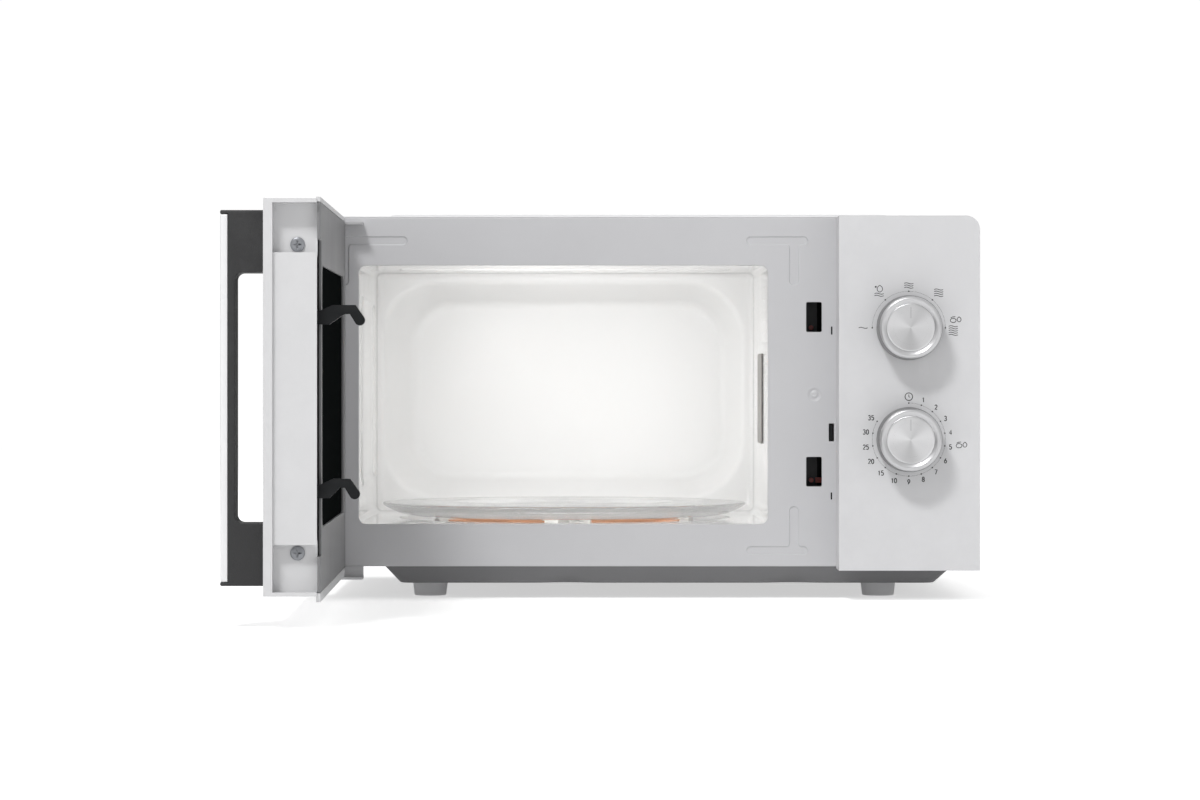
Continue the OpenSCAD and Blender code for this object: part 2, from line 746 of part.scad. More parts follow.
module coupler() color("#e9e7e2") in_cabinet() {
    rod_z(tray_x, tray_y, [26, 43], shaft_r);
    rod_z(tray_x, tray_y, [42, 48], 6);
    intersection() {
        rod_z(tray_x, tray_y, [44, 51.4], 19);
        for (a = [0, 120, 240]) translate([tray_x, tray_y, 0]) rotate([0, 0, a])
            block([0, 20], [-5.5, 5.5], [44, 51.4]);
    }
}

module glass_tray() color("#dfe9e9") in_cabinet() {
    r = tray_d / 2;
    floor_z = 51.45;
    translate([tray_x, tray_y, 0]) {
        rotate_extrude($fn = 96) polygon([
            [0, floor_z], [r - 22, floor_z], [r - 12, floor_z + 1.6], [r - 4, floor_z + 5.4],
            [r, floor_z + 7.6], [r, floor_z + 9.6], [r - 5, floor_z + 8.8],
            [r - 13.5, floor_z + 5.4], [r - 23, floor_z + 3.8], [0, floor_z + 3.8]]);
        // Lugs that the coupler's arms push round
        for (a = [60, 180, 300]) rotate([0, 0, a]) rod_z(13, 0, [47.5, floor_z + 0.1], 3.2);
    }
}

module roller_ring() color(amber) in_cabinet() {
    ring = [79, 83.5];
    arm_end = wheel_track + 5;
    translate([tray_x, tray_y, 0]) {
        difference() {
            rod_z(0, 0, [well_floor + 1.5, well_floor + 7.5], ring[1]);
            rod_z(0, 0, [well_floor, well_floor + 9], ring[0]);
        }
        for (a = [90, 210, 330]) rotate([0, 0, a]) {
            block([ring[1] - 2, wheel_track - 4.2], [-5, 5], [well_floor + 1.5, well_floor + 9]);
            rod_x([wheel_track - 5, arm_end], 0, wheel_z, 1.5);
        }
    }
}

module roller_wheel(turn) in_cabinet() translate([tray_x, tray_y, 0]) rotate([0, 0, turn])
    difference() {
        rod_x([wheel_track - 3.6, wheel_track + 3.6], 0, wheel_z, roller_d / 2);
        rod_x([wheel_track - 5, wheel_track + 5], 0, wheel_z, 1.5 + running);
    }

module roller_wheel_1() color(dark_grey) roller_wheel(90);

module roller_wheel_2() color(dark_grey) roller_wheel(210);

module roller_wheel_3() color(dark_grey) roller_wheel(330);

// Control panel

// Block whose only rounded corner is the one at the top right
module panel_block(x, y, z, r) {
    block(x, y, [z[0], z[1] - r]);
    block([x[0], x[1] - r], y, z);
    rod_y(x[1] - r, y, z[1] - r, r);
}

module control_panel() color(panel_white) in_cabinet() {
    corner = 9.4;
    difference() {
        panel_block(panel_x, [panel_front, 0], panel_z, corner);
        panel_block([panel_x[0] + panel_wall, panel_x[1] - panel_wall], [panel_front + panel_wall, 1],
            [panel_z[0] + panel_wall, panel_z[1] - panel_wall], corner - panel_wall);
        for (z = [power_z, timer_z]) rod_y(knob_x, [panel_front - 1, panel_front + 4], z, 6.5);
    }
    // Screw posts on the front frame
    for (x = [133, 213], z = [34, 222]) rod_y(x, [panel_front + 1, 0], z, 3.5);
}

// Switch gear behind a knob, with the bore that its shaft turns in
module switch_gear(z, size, back) difference() {
    union() {
        block([knob_x - size / 2, knob_x + size / 2], [panel_front + panel_wall + 3, back],
            [z - size / 2, z + size / 2]);
        rod_y(knob_x, [panel_front + panel_wall, panel_front + panel_wall + 4], z, 9);
    }
    rod_y(knob_x, [panel_front, -6], z, shaft_r + running);
}

module power_selector() color("#5d5f63") in_cabinet() switch_gear(power_z, 44, 4);

module timer_drive() color("#c8c9cb") in_cabinet() {
    switch_gear(timer_z, 50, 9);
    rod_y(knob_x, [8.9, 16], timer_z, 21);
}

// Shaft, knob and inlaid disc of one control
module control_shaft(z) rod_y(knob_x, [panel_front - 14, -7], z, shaft_r);

module control_knob(z) {
    rim = knob_d / 2;
    disc = 15.9;
    turned_front(knob_x, panel_front - 0.5, z, [
        [shaft_r, 2], [7, 2], [7, 14], [rim - 3, 14], [rim - 3, 0], [rim - 0.2, 0],
        [rim, 1], [rim - 0.6, knob_h - 4], [rim - 2.2, knob_h - 1.2], [rim - 4, knob_h - 0.5],
        [disc + 0.4, knob_h - 0.5], [disc, knob_h - 1], [disc, knob_h - 3], [shaft_r, knob_h - 3]]);
}

module knob_disc(z)
    turned_front(knob_x, panel_front - 0.5, z, [
        [0, knob_h - 3], [15.7, knob_h - 3], [15.7, knob_h - 1.6],
        [15.2, knob_h - 1.4], [0, knob_h - 2.2]]);

module power_shaft() color(steel) in_cabinet() control_shaft(power_z);

module power_knob() color("#cfd0d3") in_cabinet() control_knob(power_z);

module power_knob_disc() color("#e6e7e9") in_cabinet() knob_disc(power_z);

module timer_shaft() color(steel) in_cabinet() control_shaft(timer_z);

module timer_knob() color("#cfd0d3") in_cabinet() control_knob(timer_z);

module timer_knob_disc() color("#e6e7e9") in_cabinet() knob_disc(timer_z);

module cord_gland() color(black) in_cabinet() difference() {
    union() {
        rod_y(gland_x, [cabinet_d - 12, cabinet_d], gland_z, 7.95);
        rod_y(gland_x, [cabinet_d - 2.2, cabinet_d], gland_z, 11);
        rod_y(gland_x, [cabinet_d - 12, cabinet_d - 9], gland_z, 9);
    }
    rod_y(gland_x, [cabinet_d - 13, cabinet_d + 1], gland_z, 3.75);
}

cabinet_wrapper();
rear_plate();
base_pan();
front_plate();
cavity_liner();
cavity_back();
mica_cover();
waveguide();
upper_hinge_bracket();
lower_hinge_bracket();
hinge_pins();
feet();
case_screws();
latch_board();
primary_switch();
secondary_switch();
monitor_switch();
primary_plunger();
secondary_plunger();
monitor_slider();
magnetron();
transformer_core();
transformer_coils();
hv_capacitor();
capacitor_clip();
hv_diode();
fan_shroud();
fan_motor();
fan_blade();
cavity_lamp();
lamp_holder();
filter_board();
thermal_cutout();
turntable_motor();
cord_gland();
control_panel();
power_selector();
timer_drive();
power_shaft();
power_knob();
power_knob_disc();
timer_shaft();
timer_knob();
timer_knob_disc();
coupler();
glass_tray();
roller_ring();
roller_wheel_1();
roller_wheel_2();
roller_wheel_3();
door_frame();
door_glass();
door_plate();
choke_cover();
inner_film();
door_screws();
door_latch();
latch_spring();
handle_grip();
handle_cover();
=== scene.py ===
import json
import math

import bmesh
import bpy
from mathutils import Matrix, Vector
from mathutils.geometry import delaunay_2d_cdt


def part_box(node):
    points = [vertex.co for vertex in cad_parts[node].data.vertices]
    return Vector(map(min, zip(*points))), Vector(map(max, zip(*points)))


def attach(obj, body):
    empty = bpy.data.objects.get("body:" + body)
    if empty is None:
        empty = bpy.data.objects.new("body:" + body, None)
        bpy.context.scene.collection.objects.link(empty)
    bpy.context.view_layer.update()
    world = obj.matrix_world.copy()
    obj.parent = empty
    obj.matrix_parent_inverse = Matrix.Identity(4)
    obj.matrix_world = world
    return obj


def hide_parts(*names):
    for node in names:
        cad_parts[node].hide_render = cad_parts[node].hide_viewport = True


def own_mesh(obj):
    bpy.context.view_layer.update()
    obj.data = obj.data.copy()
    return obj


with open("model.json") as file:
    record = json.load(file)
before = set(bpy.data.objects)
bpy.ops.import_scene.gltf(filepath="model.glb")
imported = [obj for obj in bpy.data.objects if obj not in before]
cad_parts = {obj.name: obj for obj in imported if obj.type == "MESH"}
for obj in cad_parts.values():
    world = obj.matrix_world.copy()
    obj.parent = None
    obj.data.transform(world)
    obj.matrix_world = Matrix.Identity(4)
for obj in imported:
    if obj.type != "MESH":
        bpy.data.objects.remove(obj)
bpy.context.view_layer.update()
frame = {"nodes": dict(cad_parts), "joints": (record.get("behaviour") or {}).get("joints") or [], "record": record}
nodes = frame["nodes"]
mm = 0.001
pi = math.pi

# The cabinet's own middle and front frame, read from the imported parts
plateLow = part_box("front_plate")[0]
cabinetX = plateLow.x + 219.1 * mm
cabinetY = plateLow.y
doorJoint = next(j for j in frame["joints"] if j["name"] == "door_swing")
hingeAt = Vector(doorJoint["pos_m"])
openAngle = math.radians(doorJoint["range_deg"][1])
swing = Matrix.Translation(hingeAt) @ Matrix.Rotation(-openAngle, 4, "Z") @ Matrix.Translation(-hingeAt)

print("stage: frame loaded")


def newGroup(name, inputs, outputs):
    group = bpy.data.node_groups.new(name, "ShaderNodeTree")
    for label, kind, value in inputs:
        socket = group.interface.new_socket(name=label, in_out="INPUT", socket_type=kind)
        if value is not None:
            socket.default_value = value
    for label, kind in outputs:
        group.interface.new_socket(name=label, in_out="OUTPUT", socket_type=kind)
    return group, group.nodes.new("NodeGroupInput"), group.nodes.new("NodeGroupOutput")


def connect(tree, value, socket):
    if isinstance(value, (int, float)):
        socket.default_value = value
    elif isinstance(value, (tuple, list)):
        socket.default_value = (*value[:3], 1.0)
    elif value is not None:
        tree.links.new(value, socket)


def mathNode(tree, kind, a, b=None, clamp=False):
    node = tree.nodes.new("ShaderNodeMath")
    node.operation = kind
    node.use_clamp = clamp
    connect(tree, a, node.inputs[0])
    connect(tree, b, node.inputs[1])
    return node.outputs[0]


def rangeNode(tree, value, low, high, toLow, toHigh):
    node = tree.nodes.new("ShaderNodeMapRange")
    connect(tree, value, node.inputs["Value"])
    for label, amount in (("From Min", low), ("From Max", high), ("To Min", toLow), ("To Max", toHigh)):
        connect(tree, amount, node.inputs[label])
    return node.outputs["Result"]


def noiseNode(tree, vector, scale, detail=3.0, roughness=0.5):
    node = tree.nodes.new("ShaderNodeTexNoise")
    node.inputs["Detail"].default_value = detail
    node.inputs["Roughness"].default_value = roughness
    connect(tree, scale, node.inputs["Scale"])
    connect(tree, vector, node.inputs["Vector"])
    return node.outputs["Fac"]


def mixColour(tree, share, a, b):
    node = tree.nodes.new("ShaderNodeMix")
    node.data_type = "RGBA"
    for place, value in ((0, share), (6, a), (7, b)):  # the colour sockets of this node
        connect(tree, value, node.inputs[place])
    return node.outputs[2]


def shade(colour, factor, lift=0.0):
    return [min(1.0, c * factor + lift) for c in colour]


# Moulded or sprayed texture: fine peaks over a slow ripple
def buildGrain():
    group, entry, leave = newGroup("surfaceGrain", [
        ("Vector", "NodeSocketVector", None), ("Fine Scale", "NodeSocketFloat", 900.0),
        ("Ripple Scale", "NodeSocketFloat", 40.0), ("Ripple Share", "NodeSocketFloat", 0.5)],
        [("Height", "NodeSocketFloat"), ("Speckle", "NodeSocketFloat")])
    fine = noiseNode(group, entry.outputs["Vector"], entry.outputs["Fine Scale"], 2.0, 0.55)
    ripple = noiseNode(group, entry.outputs["Vector"], entry.outputs["Ripple Scale"], 1.0, 0.4)
    scaled = mathNode(group, "MULTIPLY", ripple, entry.outputs["Ripple Share"])
    group.links.new(mathNode(group, "ADD", fine, scaled), leave.inputs["Height"])
    group.links.new(rangeNode(group, fine, 0.35, 0.65, 0.0, 1.0), leave.inputs["Speckle"])
    return group


# Worn edges and corners, broken up by noise
def buildWear():
    group, entry, leave = newGroup("edgeWear", [
        ("Vector", "NodeSocketVector", None), ("Amount", "NodeSocketFloat", 0.5),
        ("Scale", "NodeSocketFloat", 60.0)],
        [("Mask", "NodeSocketFloat")])
    geometry = group.nodes.new("ShaderNodeNewGeometry")
    edge = rangeNode(group, geometry.outputs["Pointiness"], 0.52, 0.6, 0.0, 1.0)
    broken = rangeNode(group, noiseNode(group, entry.outputs["Vector"], entry.outputs["Scale"], 5.0, 0.65),
                       0.4, 0.65, 0.0, 1.0)
    mask = mathNode(group, "MULTIPLY", edge, broken)
    group.links.new(mathNode(group, "MULTIPLY", mask, entry.outputs["Amount"], True), leave.inputs["Mask"])
    return group


# Dust that settles on faces that look up, and a faint smear everywhere
def buildDust():
    group, entry, leave = newGroup("settledDust", [
        ("Vector", "NodeSocketVector", None), ("Amount", "NodeSocketFloat", 0.3),
        ("Smear", "NodeSocketFloat", 0.3)],
        [("Mask", "NodeSocketFloat"), ("Roughness Shift", "NodeSocketFloat")])
    geometry = group.nodes.new("ShaderNodeNewGeometry")
    axes = group.nodes.new("ShaderNodeSeparateXYZ")
    group.links.new(geometry.outputs["Normal"], axes.inputs["Vector"])
    upward = rangeNode(group, axes.outputs["Z"], 0.55, 1.0, 0.0, 1.0)
    patches = rangeNode(group, noiseNode(group, entry.outputs["Vector"], 22.0, 6.0, 0.6), 0.35, 0.7, 0.1, 1.0)
    settled = mathNode(group, "MULTIPLY", upward, patches)
    group.links.new(mathNode(group, "MULTIPLY", settled, entry.outputs["Amount"], True), leave.inputs["Mask"])
    smear = rangeNode(group, noiseNode(group, entry.outputs["Vector"], 9.0, 4.0, 0.6), 0.3, 0.7, -0.5, 0.5)
    group.links.new(mathNode(group, "MULTIPLY", smear, entry.outputs["Smear"]),
                    leave.inputs["Roughness Shift"])
    return group


# Fine turning lines round an axis through the piece's middle, and a painted highlight: bright and dark wedges by
# angle round that axis, which the brushed finish paints into its colour
def buildTurned():
    group, entry, leave = newGroup("turnedLines", [
        ("Vector", "NodeSocketVector", None), ("Scale", "NodeSocketFloat", 2600.0)],
        [("Height", "NodeSocketFloat"), ("Sheen", "NodeSocketFloat")])
    axes = group.nodes.new("ShaderNodeSeparateXYZ")
    group.links.new(entry.outputs["Vector"], axes.inputs["Vector"])
    flat = group.nodes.new("ShaderNodeCombineXYZ")
    group.links.new(axes.outputs["X"], flat.inputs["X"])
    group.links.new(axes.outputs["Z"], flat.inputs["Y"])
    length = group.nodes.new("ShaderNodeVectorMath")
    length.operation = "LENGTH"
    group.links.new(flat.outputs["Vector"], length.inputs[0])
    ring = group.nodes.new("ShaderNodeCombineXYZ")
    group.links.new(length.outputs["Value"], ring.inputs["X"])
    lines = noiseNode(group, ring.outputs["Vector"], entry.outputs["Scale"], 2.0, 0.6)
    group.links.new(lines, leave.inputs["Height"])
    # Painted highlight: a conic pattern of light and dark wedges by angle round the axis
    angle = mathNode(group, "ARCTAN2", axes.outputs["Z"], axes.outputs["X"])
    bowtie = mathNode(group, "COSINE", mathNode(group, "MULTIPLY", mathNode(group, "ADD", angle, 0.25), 2.0))
    fan = mathNode(group, "SINE", mathNode(group, "MULTIPLY", angle, 5.0))
    paintedHighlightPattern = mathNode(group, "ADD", bowtie, mathNode(group, "MULTIPLY", fan, 0.3))
    group.links.new(rangeNode(group, paintedHighlightPattern, -1.2, 1.2, 0.0, 1.0), leave.inputs["Sheen"])
    return group


grainGroup = buildGrain()
wearGroup = buildWear()
dustGroup = buildDust()
turnedGroup = buildTurned()

# Every finish: base colour, roughness, metallic, specular, grain (fine scale, ripple scale, ripple
# share), bump depth in metres, coat, wear, dust, and how far the tint varies
finishLooks = {
    "whitePaint": ((0.86, 0.86, 0.87), 0.34, 0.0, 0.5, (1100, 260, 0.9), 0.00003, 0.25, 0.15, 0.05, 0.02),
    "framePaint": ((0.595, 0.595, 0.61), 0.42, 0.0, 0.5, (1500, 420, 0.6), 0.00004, 0.12, 0.1, 0.04, 0.03),
    "enamelWhite": ((0.74, 0.738, 0.732), 0.14, 0.0, 0.5, (700, 60, 0.3), 0.000001, 0.7, 0.0, 0.01, 0.01),
    "panelPlastic": ((0.69, 0.69, 0.702), 0.45, 0.0, 0.5, (2600, 300, 0.25), 0.00004, 0.05, 0.1, 0.04, 0.015),
    "doorPlastic": ((0.66, 0.66, 0.668), 0.38, 0.0, 0.5, (2200, 300, 0.3), 0.00003, 0.08, 0.1, 0.04, 0.015),
    # coverPlastic: a light grey cover given a dark base colour, painted shade for the shadow the door's inner face
    # stands in
    "coverPlastic": ((0.195, 0.195, 0.2), 0.5, 0.0, 0.5, (1800, 300, 0.4), 0.00005, 0.05, 0.25, 0.04, 0.03),
    "tintedGlass": ((0.012, 0.012, 0.013), 0.04, 0.0, 0.5, (300, 12, 1.0), 0.000002, 0.5, 0.0, 0.05, 0.05),
    "windowFilm": ((0.006, 0.007, 0.007), 0.16, 0.0, 0.0, (300, 20, 1.0), 0.00001, 0.0, 0.0, 0.0, 0.05),
    "blackPlastic": ((0.008, 0.009, 0.01), 0.42, 0.0, 0.2, (1900, 260, 0.4), 0.00005, 0.0, 0.2, 0.01, 0.1),
    "gripPlastic": ((0.024, 0.024, 0.025), 0.52, 0.0, 0.5, (1500, 300, 0.3), 0.00018, 0.0, 0.3, 0.05, 0.12),
    "handleWhite": ((0.84, 0.84, 0.85), 0.3, 0.0, 0.5, (2200, 260, 0.3), 0.00003, 0.2, 0.1, 0.04, 0.015),
    "ringPlastic": ((0.6, 0.3, 0.17), 0.35, 0.0, 0.5, (1200, 160, 0.5), 0.00004, 0.1, 0.15, 0.05, 0.06),
    "wheelPlastic": ((0.62, 0.6, 0.58), 0.4, 0.0, 0.5, (1500, 200, 0.4), 0.00004, 0.0, 0.25, 0.05, 0.06),
    "couplerPlastic": ((0.78, 0.77, 0.74), 0.28, 0.0, 0.5, (1200, 160, 0.4), 0.00003, 0.1, 0.1, 0.03, 0.04),
    # knobSide: dark grey for the knob's outer side wall, painted in for the dark edge reflection round its rim
    "knobSide": ((0.2, 0.2, 0.205), 0.4, 0.4, 0.5, (400, 40, 0.6), 0.000008, 0.0, 0.04, 0.04, 0.03),
    "knobSilver": ((0.66, 0.66, 0.67), 0.36, 0.75, 0.5, (2600, 300, 0.2), 0.00002, 0.1, 0.05, 0.02, 0.02),
    "zincSteel": ((0.6, 0.61, 0.63), 0.34, 0.95, 0.5, (700, 90, 1.1), 0.00005, 0.0, 0.2, 0.06, 0.14),
    "bracketSteel": ((0.56, 0.56, 0.57), 0.4, 0.6, 0.5, (900, 120, 0.8), 0.00004, 0.0, 0.2, 0.03, 0.08),
    "screwSteel": ((0.3, 0.31, 0.33), 0.36, 0.5, 0.5, (900, 120, 0.8), 0.00004, 0.0, 0.3, 0.02, 0.1),
    "darkSteel": ((0.2, 0.21, 0.22), 0.45, 0.8, 0.5, (500, 160, 0.8), 0.0001, 0.0, 0.4, 0.08, 0.2),
    "panSteel": ((0.19, 0.19, 0.195), 0.42, 0.2, 0.5, (900, 120, 0.9), 0.00005, 0.15, 0.2, 0.04, 0.06),
    "micaSheet": ((0.26, 0.25, 0.235), 0.48, 0.0, 0.5, (300, 40, 1.6), 0.00008, 0.1, 0.2, 0.04, 0.25),
    "switchPlastic": ((0.045, 0.045, 0.05), 0.45, 0.0, 0.5, (1500, 200, 0.4), 0.00004, 0.0, 0.2, 0.05, 0.1),
    "redPlastic": ((0.5, 0.06, 0.045), 0.4, 0.0, 0.5, (1500, 200, 0.4), 0.00004, 0.1, 0.2, 0.05, 0.08),
    "glandRubber": ((0.03, 0.03, 0.032), 0.65, 0.0, 0.5, (900, 160, 0.6), 0.00008, 0.0, 0.3, 0.1, 0.15),
    "dialPrint": ((0.012, 0.012, 0.013), 0.6, 0.0, 0.5, (2600, 300, 0.3), 0.00001, 0.0, 0.0, 0.0, 0.1),
    "clearLamp": ((0.95, 0.9, 0.78), 0.25, 0.0, 0.5, (600, 60, 0.6), 0.00002, 0.4, 0.0, 0.06, 0.04),
    "copperWire": ((0.62, 0.27, 0.1), 0.32, 0.85, 0.5, (800, 120, 0.5), 0.00006, 0.4, 0.1, 0.08, 0.15),
    "circuitBoard": ((0.04, 0.2, 0.1), 0.3, 0.0, 0.5, (900, 100, 0.4), 0.00003, 0.3, 0.1, 0.08, 0.12),
}
wearScale = 70.0
dustSmear = 0.12
dustColour = (0.55, 0.54, 0.52)
finishes = {}


def placeGroup(tree, group, vector, **values):
    node = tree.nodes.new("ShaderNodeGroup")
    node.node_tree = group
    connect(tree, vector, node.inputs["Vector"])
    for label, value in values.items():
        connect(tree, value, node.inputs[label.replace("_", " ")])
    return node


def newMaterial(name):
    material = bpy.data.materials.new(name)
    material.use_nodes = True
    finishes[name] = material
    tree = material.node_tree
    return tree, tree.nodes["Principled BSDF"], tree.nodes.new("ShaderNodeTexCoord").outputs["Object"]


def addBump(tree, shader, height, depth):
    bump = tree.nodes.new("ShaderNodeBump")
    bump.inputs["Strength"].default_value = 1.0
    bump.inputs["Distance"].default_value = depth
    connect(tree, height, bump.inputs["Height"])
    connect(tree, bump.outputs["Normal"], shader.inputs["Normal"])


def makeFinish(name, base, rough, metal, specular, texture, depth, coat, wearAmount, dustAmount, vary):
    tree, shader, place = newMaterial(name)
    fine, ripple, share = texture
    grain = placeGroup(tree, grainGroup, place, Fine_Scale=fine, Ripple_Scale=ripple, Ripple_Share=share)
    wear = placeGroup(tree, wearGroup, place, Amount=wearAmount, Scale=wearScale)
    dust = placeGroup(tree, dustGroup, place, Amount=dustAmount, Smear=dustSmear)
    clouds = noiseNode(tree, place, 18.0, 4.0, 0.6)
    tint = mixColour(tree, clouds, [c * (1 - vary) for c in base], shade(base, 1 + vary))
    flecks = mathNode(tree, "MULTIPLY", grain.outputs["Speckle"], vary * 0.8)
    tint = mixColour(tree, flecks, tint, shade(base, 0.8))
    worn = mixColour(tree, wear.outputs["Mask"], tint, shade(base, 1.25, 0.03))
    connect(tree, mixColour(tree, dust.outputs["Mask"], worn, dustColour), shader.inputs["Base Color"])
    smeared = mathNode(tree, "ADD", dust.outputs["Roughness Shift"], rough)
    dusty = mathNode(tree, "MULTIPLY", dust.outputs["Mask"], 0.3)
    connect(tree, mathNode(tree, "ADD", smeared, dusty, True), shader.inputs["Roughness"])
    addBump(tree, shader, grain.outputs["Height"], depth)
    shader.inputs["Metallic"].default_value = metal
    shader.inputs["Coat Weight"].default_value = coat
    shader.inputs["Coat Roughness"].default_value = 0.08
    shader.inputs["Specular IOR Level"].default_value = specular
    return tree, shader, place


def makeGlass(name, colour, rough, ior, alpha):
    tree, shader, place = newMaterial(name)
    grain = placeGroup(tree, grainGroup, place, Fine_Scale=260.0, Ripple_Scale=35.0, Ripple_Share=1.2)
    dust = placeGroup(tree, dustGroup, place, Amount=0.04, Smear=0.03)
    tint = mixColour(tree, dust.outputs["Mask"], colour, (0.8, 0.79, 0.77))
    connect(tree, tint, shader.inputs["Base Color"])
    connect(tree, mathNode(tree, "ADD", dust.outputs["Roughness Shift"], rough, True),
            shader.inputs["Roughness"])
    addBump(tree, shader, grain.outputs["Height"], 0.00002)
    shader.inputs["Transmission Weight"].default_value = 1.0
    shader.inputs["IOR"].default_value = ior
    shader.inputs["Alpha"].default_value = alpha


def makeBrushed(name, colour):
    tree, shader, place = newMaterial(name)
    turning = placeGroup(tree, turnedGroup, place, Scale=2600.0)
    # Painted highlight: the angle pattern lightens and darkens the base colour like a conic sheen
    paintedHighlightTone = mixColour(tree, turning.outputs["Sheen"], shade(colour, 0.8), shade(colour, 1.12))
    lines = mathNode(tree, "MULTIPLY", turning.outputs["Height"], 0.25)
    connect(tree, mixColour(tree, lines, paintedHighlightTone, shade(colour, 0.75)), shader.inputs["Base Color"])
    connect(tree, rangeNode(tree, turning.outputs["Height"], 0.3, 0.7, 0.26, 0.4), shader.inputs["Roughness"])
    addBump(tree, shader, turning.outputs["Height"], 0.00002)
    shader.inputs["Metallic"].default_value = 0.85
    shader.inputs["Anisotropic"].default_value = 0.6


# Wound wire: bands that replace the plain grain
def makeCopper(name):
    tree, shader, place = makeFinish(name, *finishLooks[name])
    wave = tree.nodes.new("ShaderNodeTexWave")
    wave.wave_type = "BANDS"
    wave.bands_direction = "Z"
    wave.inputs["Scale"].default_value = 380.0
    wave.inputs["Distortion"].default_value = 0.6
    connect(tree, place, wave.inputs["Vector"])
    addBump(tree, shader, wave.outputs["Fac"], 0.0004)


def makeBoard(name):
    tree, shader, place = makeFinish(name, *finishLooks[name])
    bricks = tree.nodes.new("ShaderNodeTexBrick")
    bricks.inputs["Scale"].default_value = 90.0
    bricks.inputs["Color1"].default_value = (0.035, 0.17, 0.09, 1)
    bricks.inputs["Color2"].default_value = (0.05, 0.23, 0.12, 1)
    bricks.inputs["Mortar"].default_value = (0.03, 0.12, 0.07, 1)
    connect(tree, place, bricks.inputs["Vector"])
    connect(tree, bricks.outputs["Color"], shader.inputs["Base Color"])


makeGlass("trayGlass", (0.985, 0.992, 0.99), 0.02, 1.3, 0.8)
makeBrushed("brushedDisc", (0.84, 0.84, 0.85))
makeCopper("copperWire")
makeBoard("circuitBoard")
for finishName, look in finishLooks.items():
    if finishName not in finishes:
        makeFinish(finishName, *look)

# A slot's finish has the slot's own name, apart from these
otherFinish = {"enamel": "enamelWhite", "mica": "micaSheet", "lamp_glass": "clearLamp",
               "board": "circuitBoard"}


def finishOf(slotName):
    first, *rest = slotName.split("_")
    return otherFinish.get(slotName, first + "".join(word.capitalize() for word in rest))


bodyOf = {n: b for b, members in frame["record"]["behaviour"]["bodies"].items() for n in members}
slotOf = {part["node"]: part["material_slot"] for part in frame["record"]["subparts"]}

print("stage: finishes made")


def inCabinet(points):
    return [Vector((cabinetX + x * mm, cabinetY + y * mm, z * mm)) for x, y, z in points]


sharpFrom = 32.0  # degrees between faces


def softEdges(obj, angle=sharpFrom):
    obj.data.shade_smooth()
    obj.data.set_sharp_from_angle(angle=math.radians(angle))
    normals = obj.modifiers.new("evenNormals", "WEIGHTED_NORMAL")
    normals.keep_sharp = True
    return obj


def addObject(name, data):
    obj = bpy.data.objects.new(name, data)
    bpy.context.scene.collection.objects.link(obj)
    return obj


def register(obj, body, finish, replaced=()):
    obj.data.materials.clear()
    obj.data.materials.append(finishes[finish])
    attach(obj, body)
    if replaced:
        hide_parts(*replaced)
    return obj


def buildMesh(name, points, faces, onDoor=False):
    mesh = bpy.data.meshes.new(name)
    mesh.from_pydata([tuple(p) for p in points], [], faces)
    if onDoor:
        mesh.transform(swing)
    work = bmesh.new()
    work.from_mesh(mesh)
    bmesh.ops.remove_doubles(work, verts=work.verts, dist=1e-7)
    bmesh.ops.recalc_face_normals(work, faces=work.faces)
    work.to_mesh(mesh)
    work.free()
    return addObject(name, mesh)


# Points are in millimetres in the cabinet's frame; a door piece is given closed and swung open here
def addPiece(name, shape, body, slotName, finish, *replaced, angle=sharpFrom):
    points, faces = shape
    obj = softEdges(buildMesh(name, inCabinet(points), faces, body == "door"), angle)
    return register(obj, body, finish, replaced)


# The CAD node's own shape with its edges rounded
def roundedNode(node, name, width, finish, segments=2):
    mesh = nodes[node].data.copy()
    mesh.name = name
    work = bmesh.new()
    work.from_mesh(mesh)
    bmesh.ops.remove_doubles(work, verts=work.verts, dist=2e-6)
    bmesh.ops.dissolve_limit(work, angle_limit=math.radians(0.6), verts=work.verts, edges=work.edges)
    sharp = [e for e in work.edges
             if len(e.link_faces) == 2 and e.calc_face_angle(0.0) > math.radians(sharpFrom)]
    bmesh.ops.bevel(work, geom=sharp, offset=width * mm, offset_type="OFFSET", segments=segments,
                    profile=0.5, affect="EDGES", clamp_overlap=True)
    work.to_mesh(mesh)
    work.free()
    return register(softEdges(addObject(name, mesh), 35.0), bodyOf[node], finish, (node,))


# Closed outline through corners, each rounded, and moved inwards by inset
def roundedOutline(corners, radii, inset=0.0, steps=6):
    count = len(corners)
    if isinstance(radii, (int, float)):
        radii = [radii] * count
    area = sum(corners[i][0] * corners[(i + 1) % count][1] - corners[(i + 1) % count][0] * corners[i][1]
               for i in range(count))
    if area < 0:
        corners = list(reversed(corners))
        radii = list(reversed(radii))
    outline = []
    for i in range(count):
        here = Vector(corners[i])
        before = (here - Vector(corners[i - 1])).normalized()
        after = (Vector(corners[(i + 1) % count]) - here).normalized()
        n1 = Vector((-before.y, before.x))
        n2 = Vector((-after.y, after.x))
        moved = here + (n1 + n2) * (inset / (1 + n1.dot(n2)))
        convex = before.x * after.y - before.y * after.x > 0
        radius = max(0.02, radii[i] - inset if convex else radii[i] + inset)
        turn = math.acos(max(-1.0, min(1.0, before.dot(after))))
        start = moved - before * (radius * math.tan(turn / 2))
        middle = start + n1 * (radius if convex else -radius)
        for k in range(steps + 1):
            a = turn * k / steps * (1 if convex else -1)
            arm = start - middle
            outline.append((middle.x + arm.x * math.cos(a) - arm.y * math.sin(a),
                            middle.y + arm.x * math.sin(a) + arm.y * math.cos(a)))
    return outline


def rectangle(u, v):
    return [(u[0], v[0]), (u[1], v[0]), (u[1], v[1]), (u[0], v[1])]


def circleCorners(u, v, radius, count=20):
    return [(u + radius * math.cos(2 * pi * k / count), v + radius * math.sin(2 * pi * k / count))
            for k in range(count)]


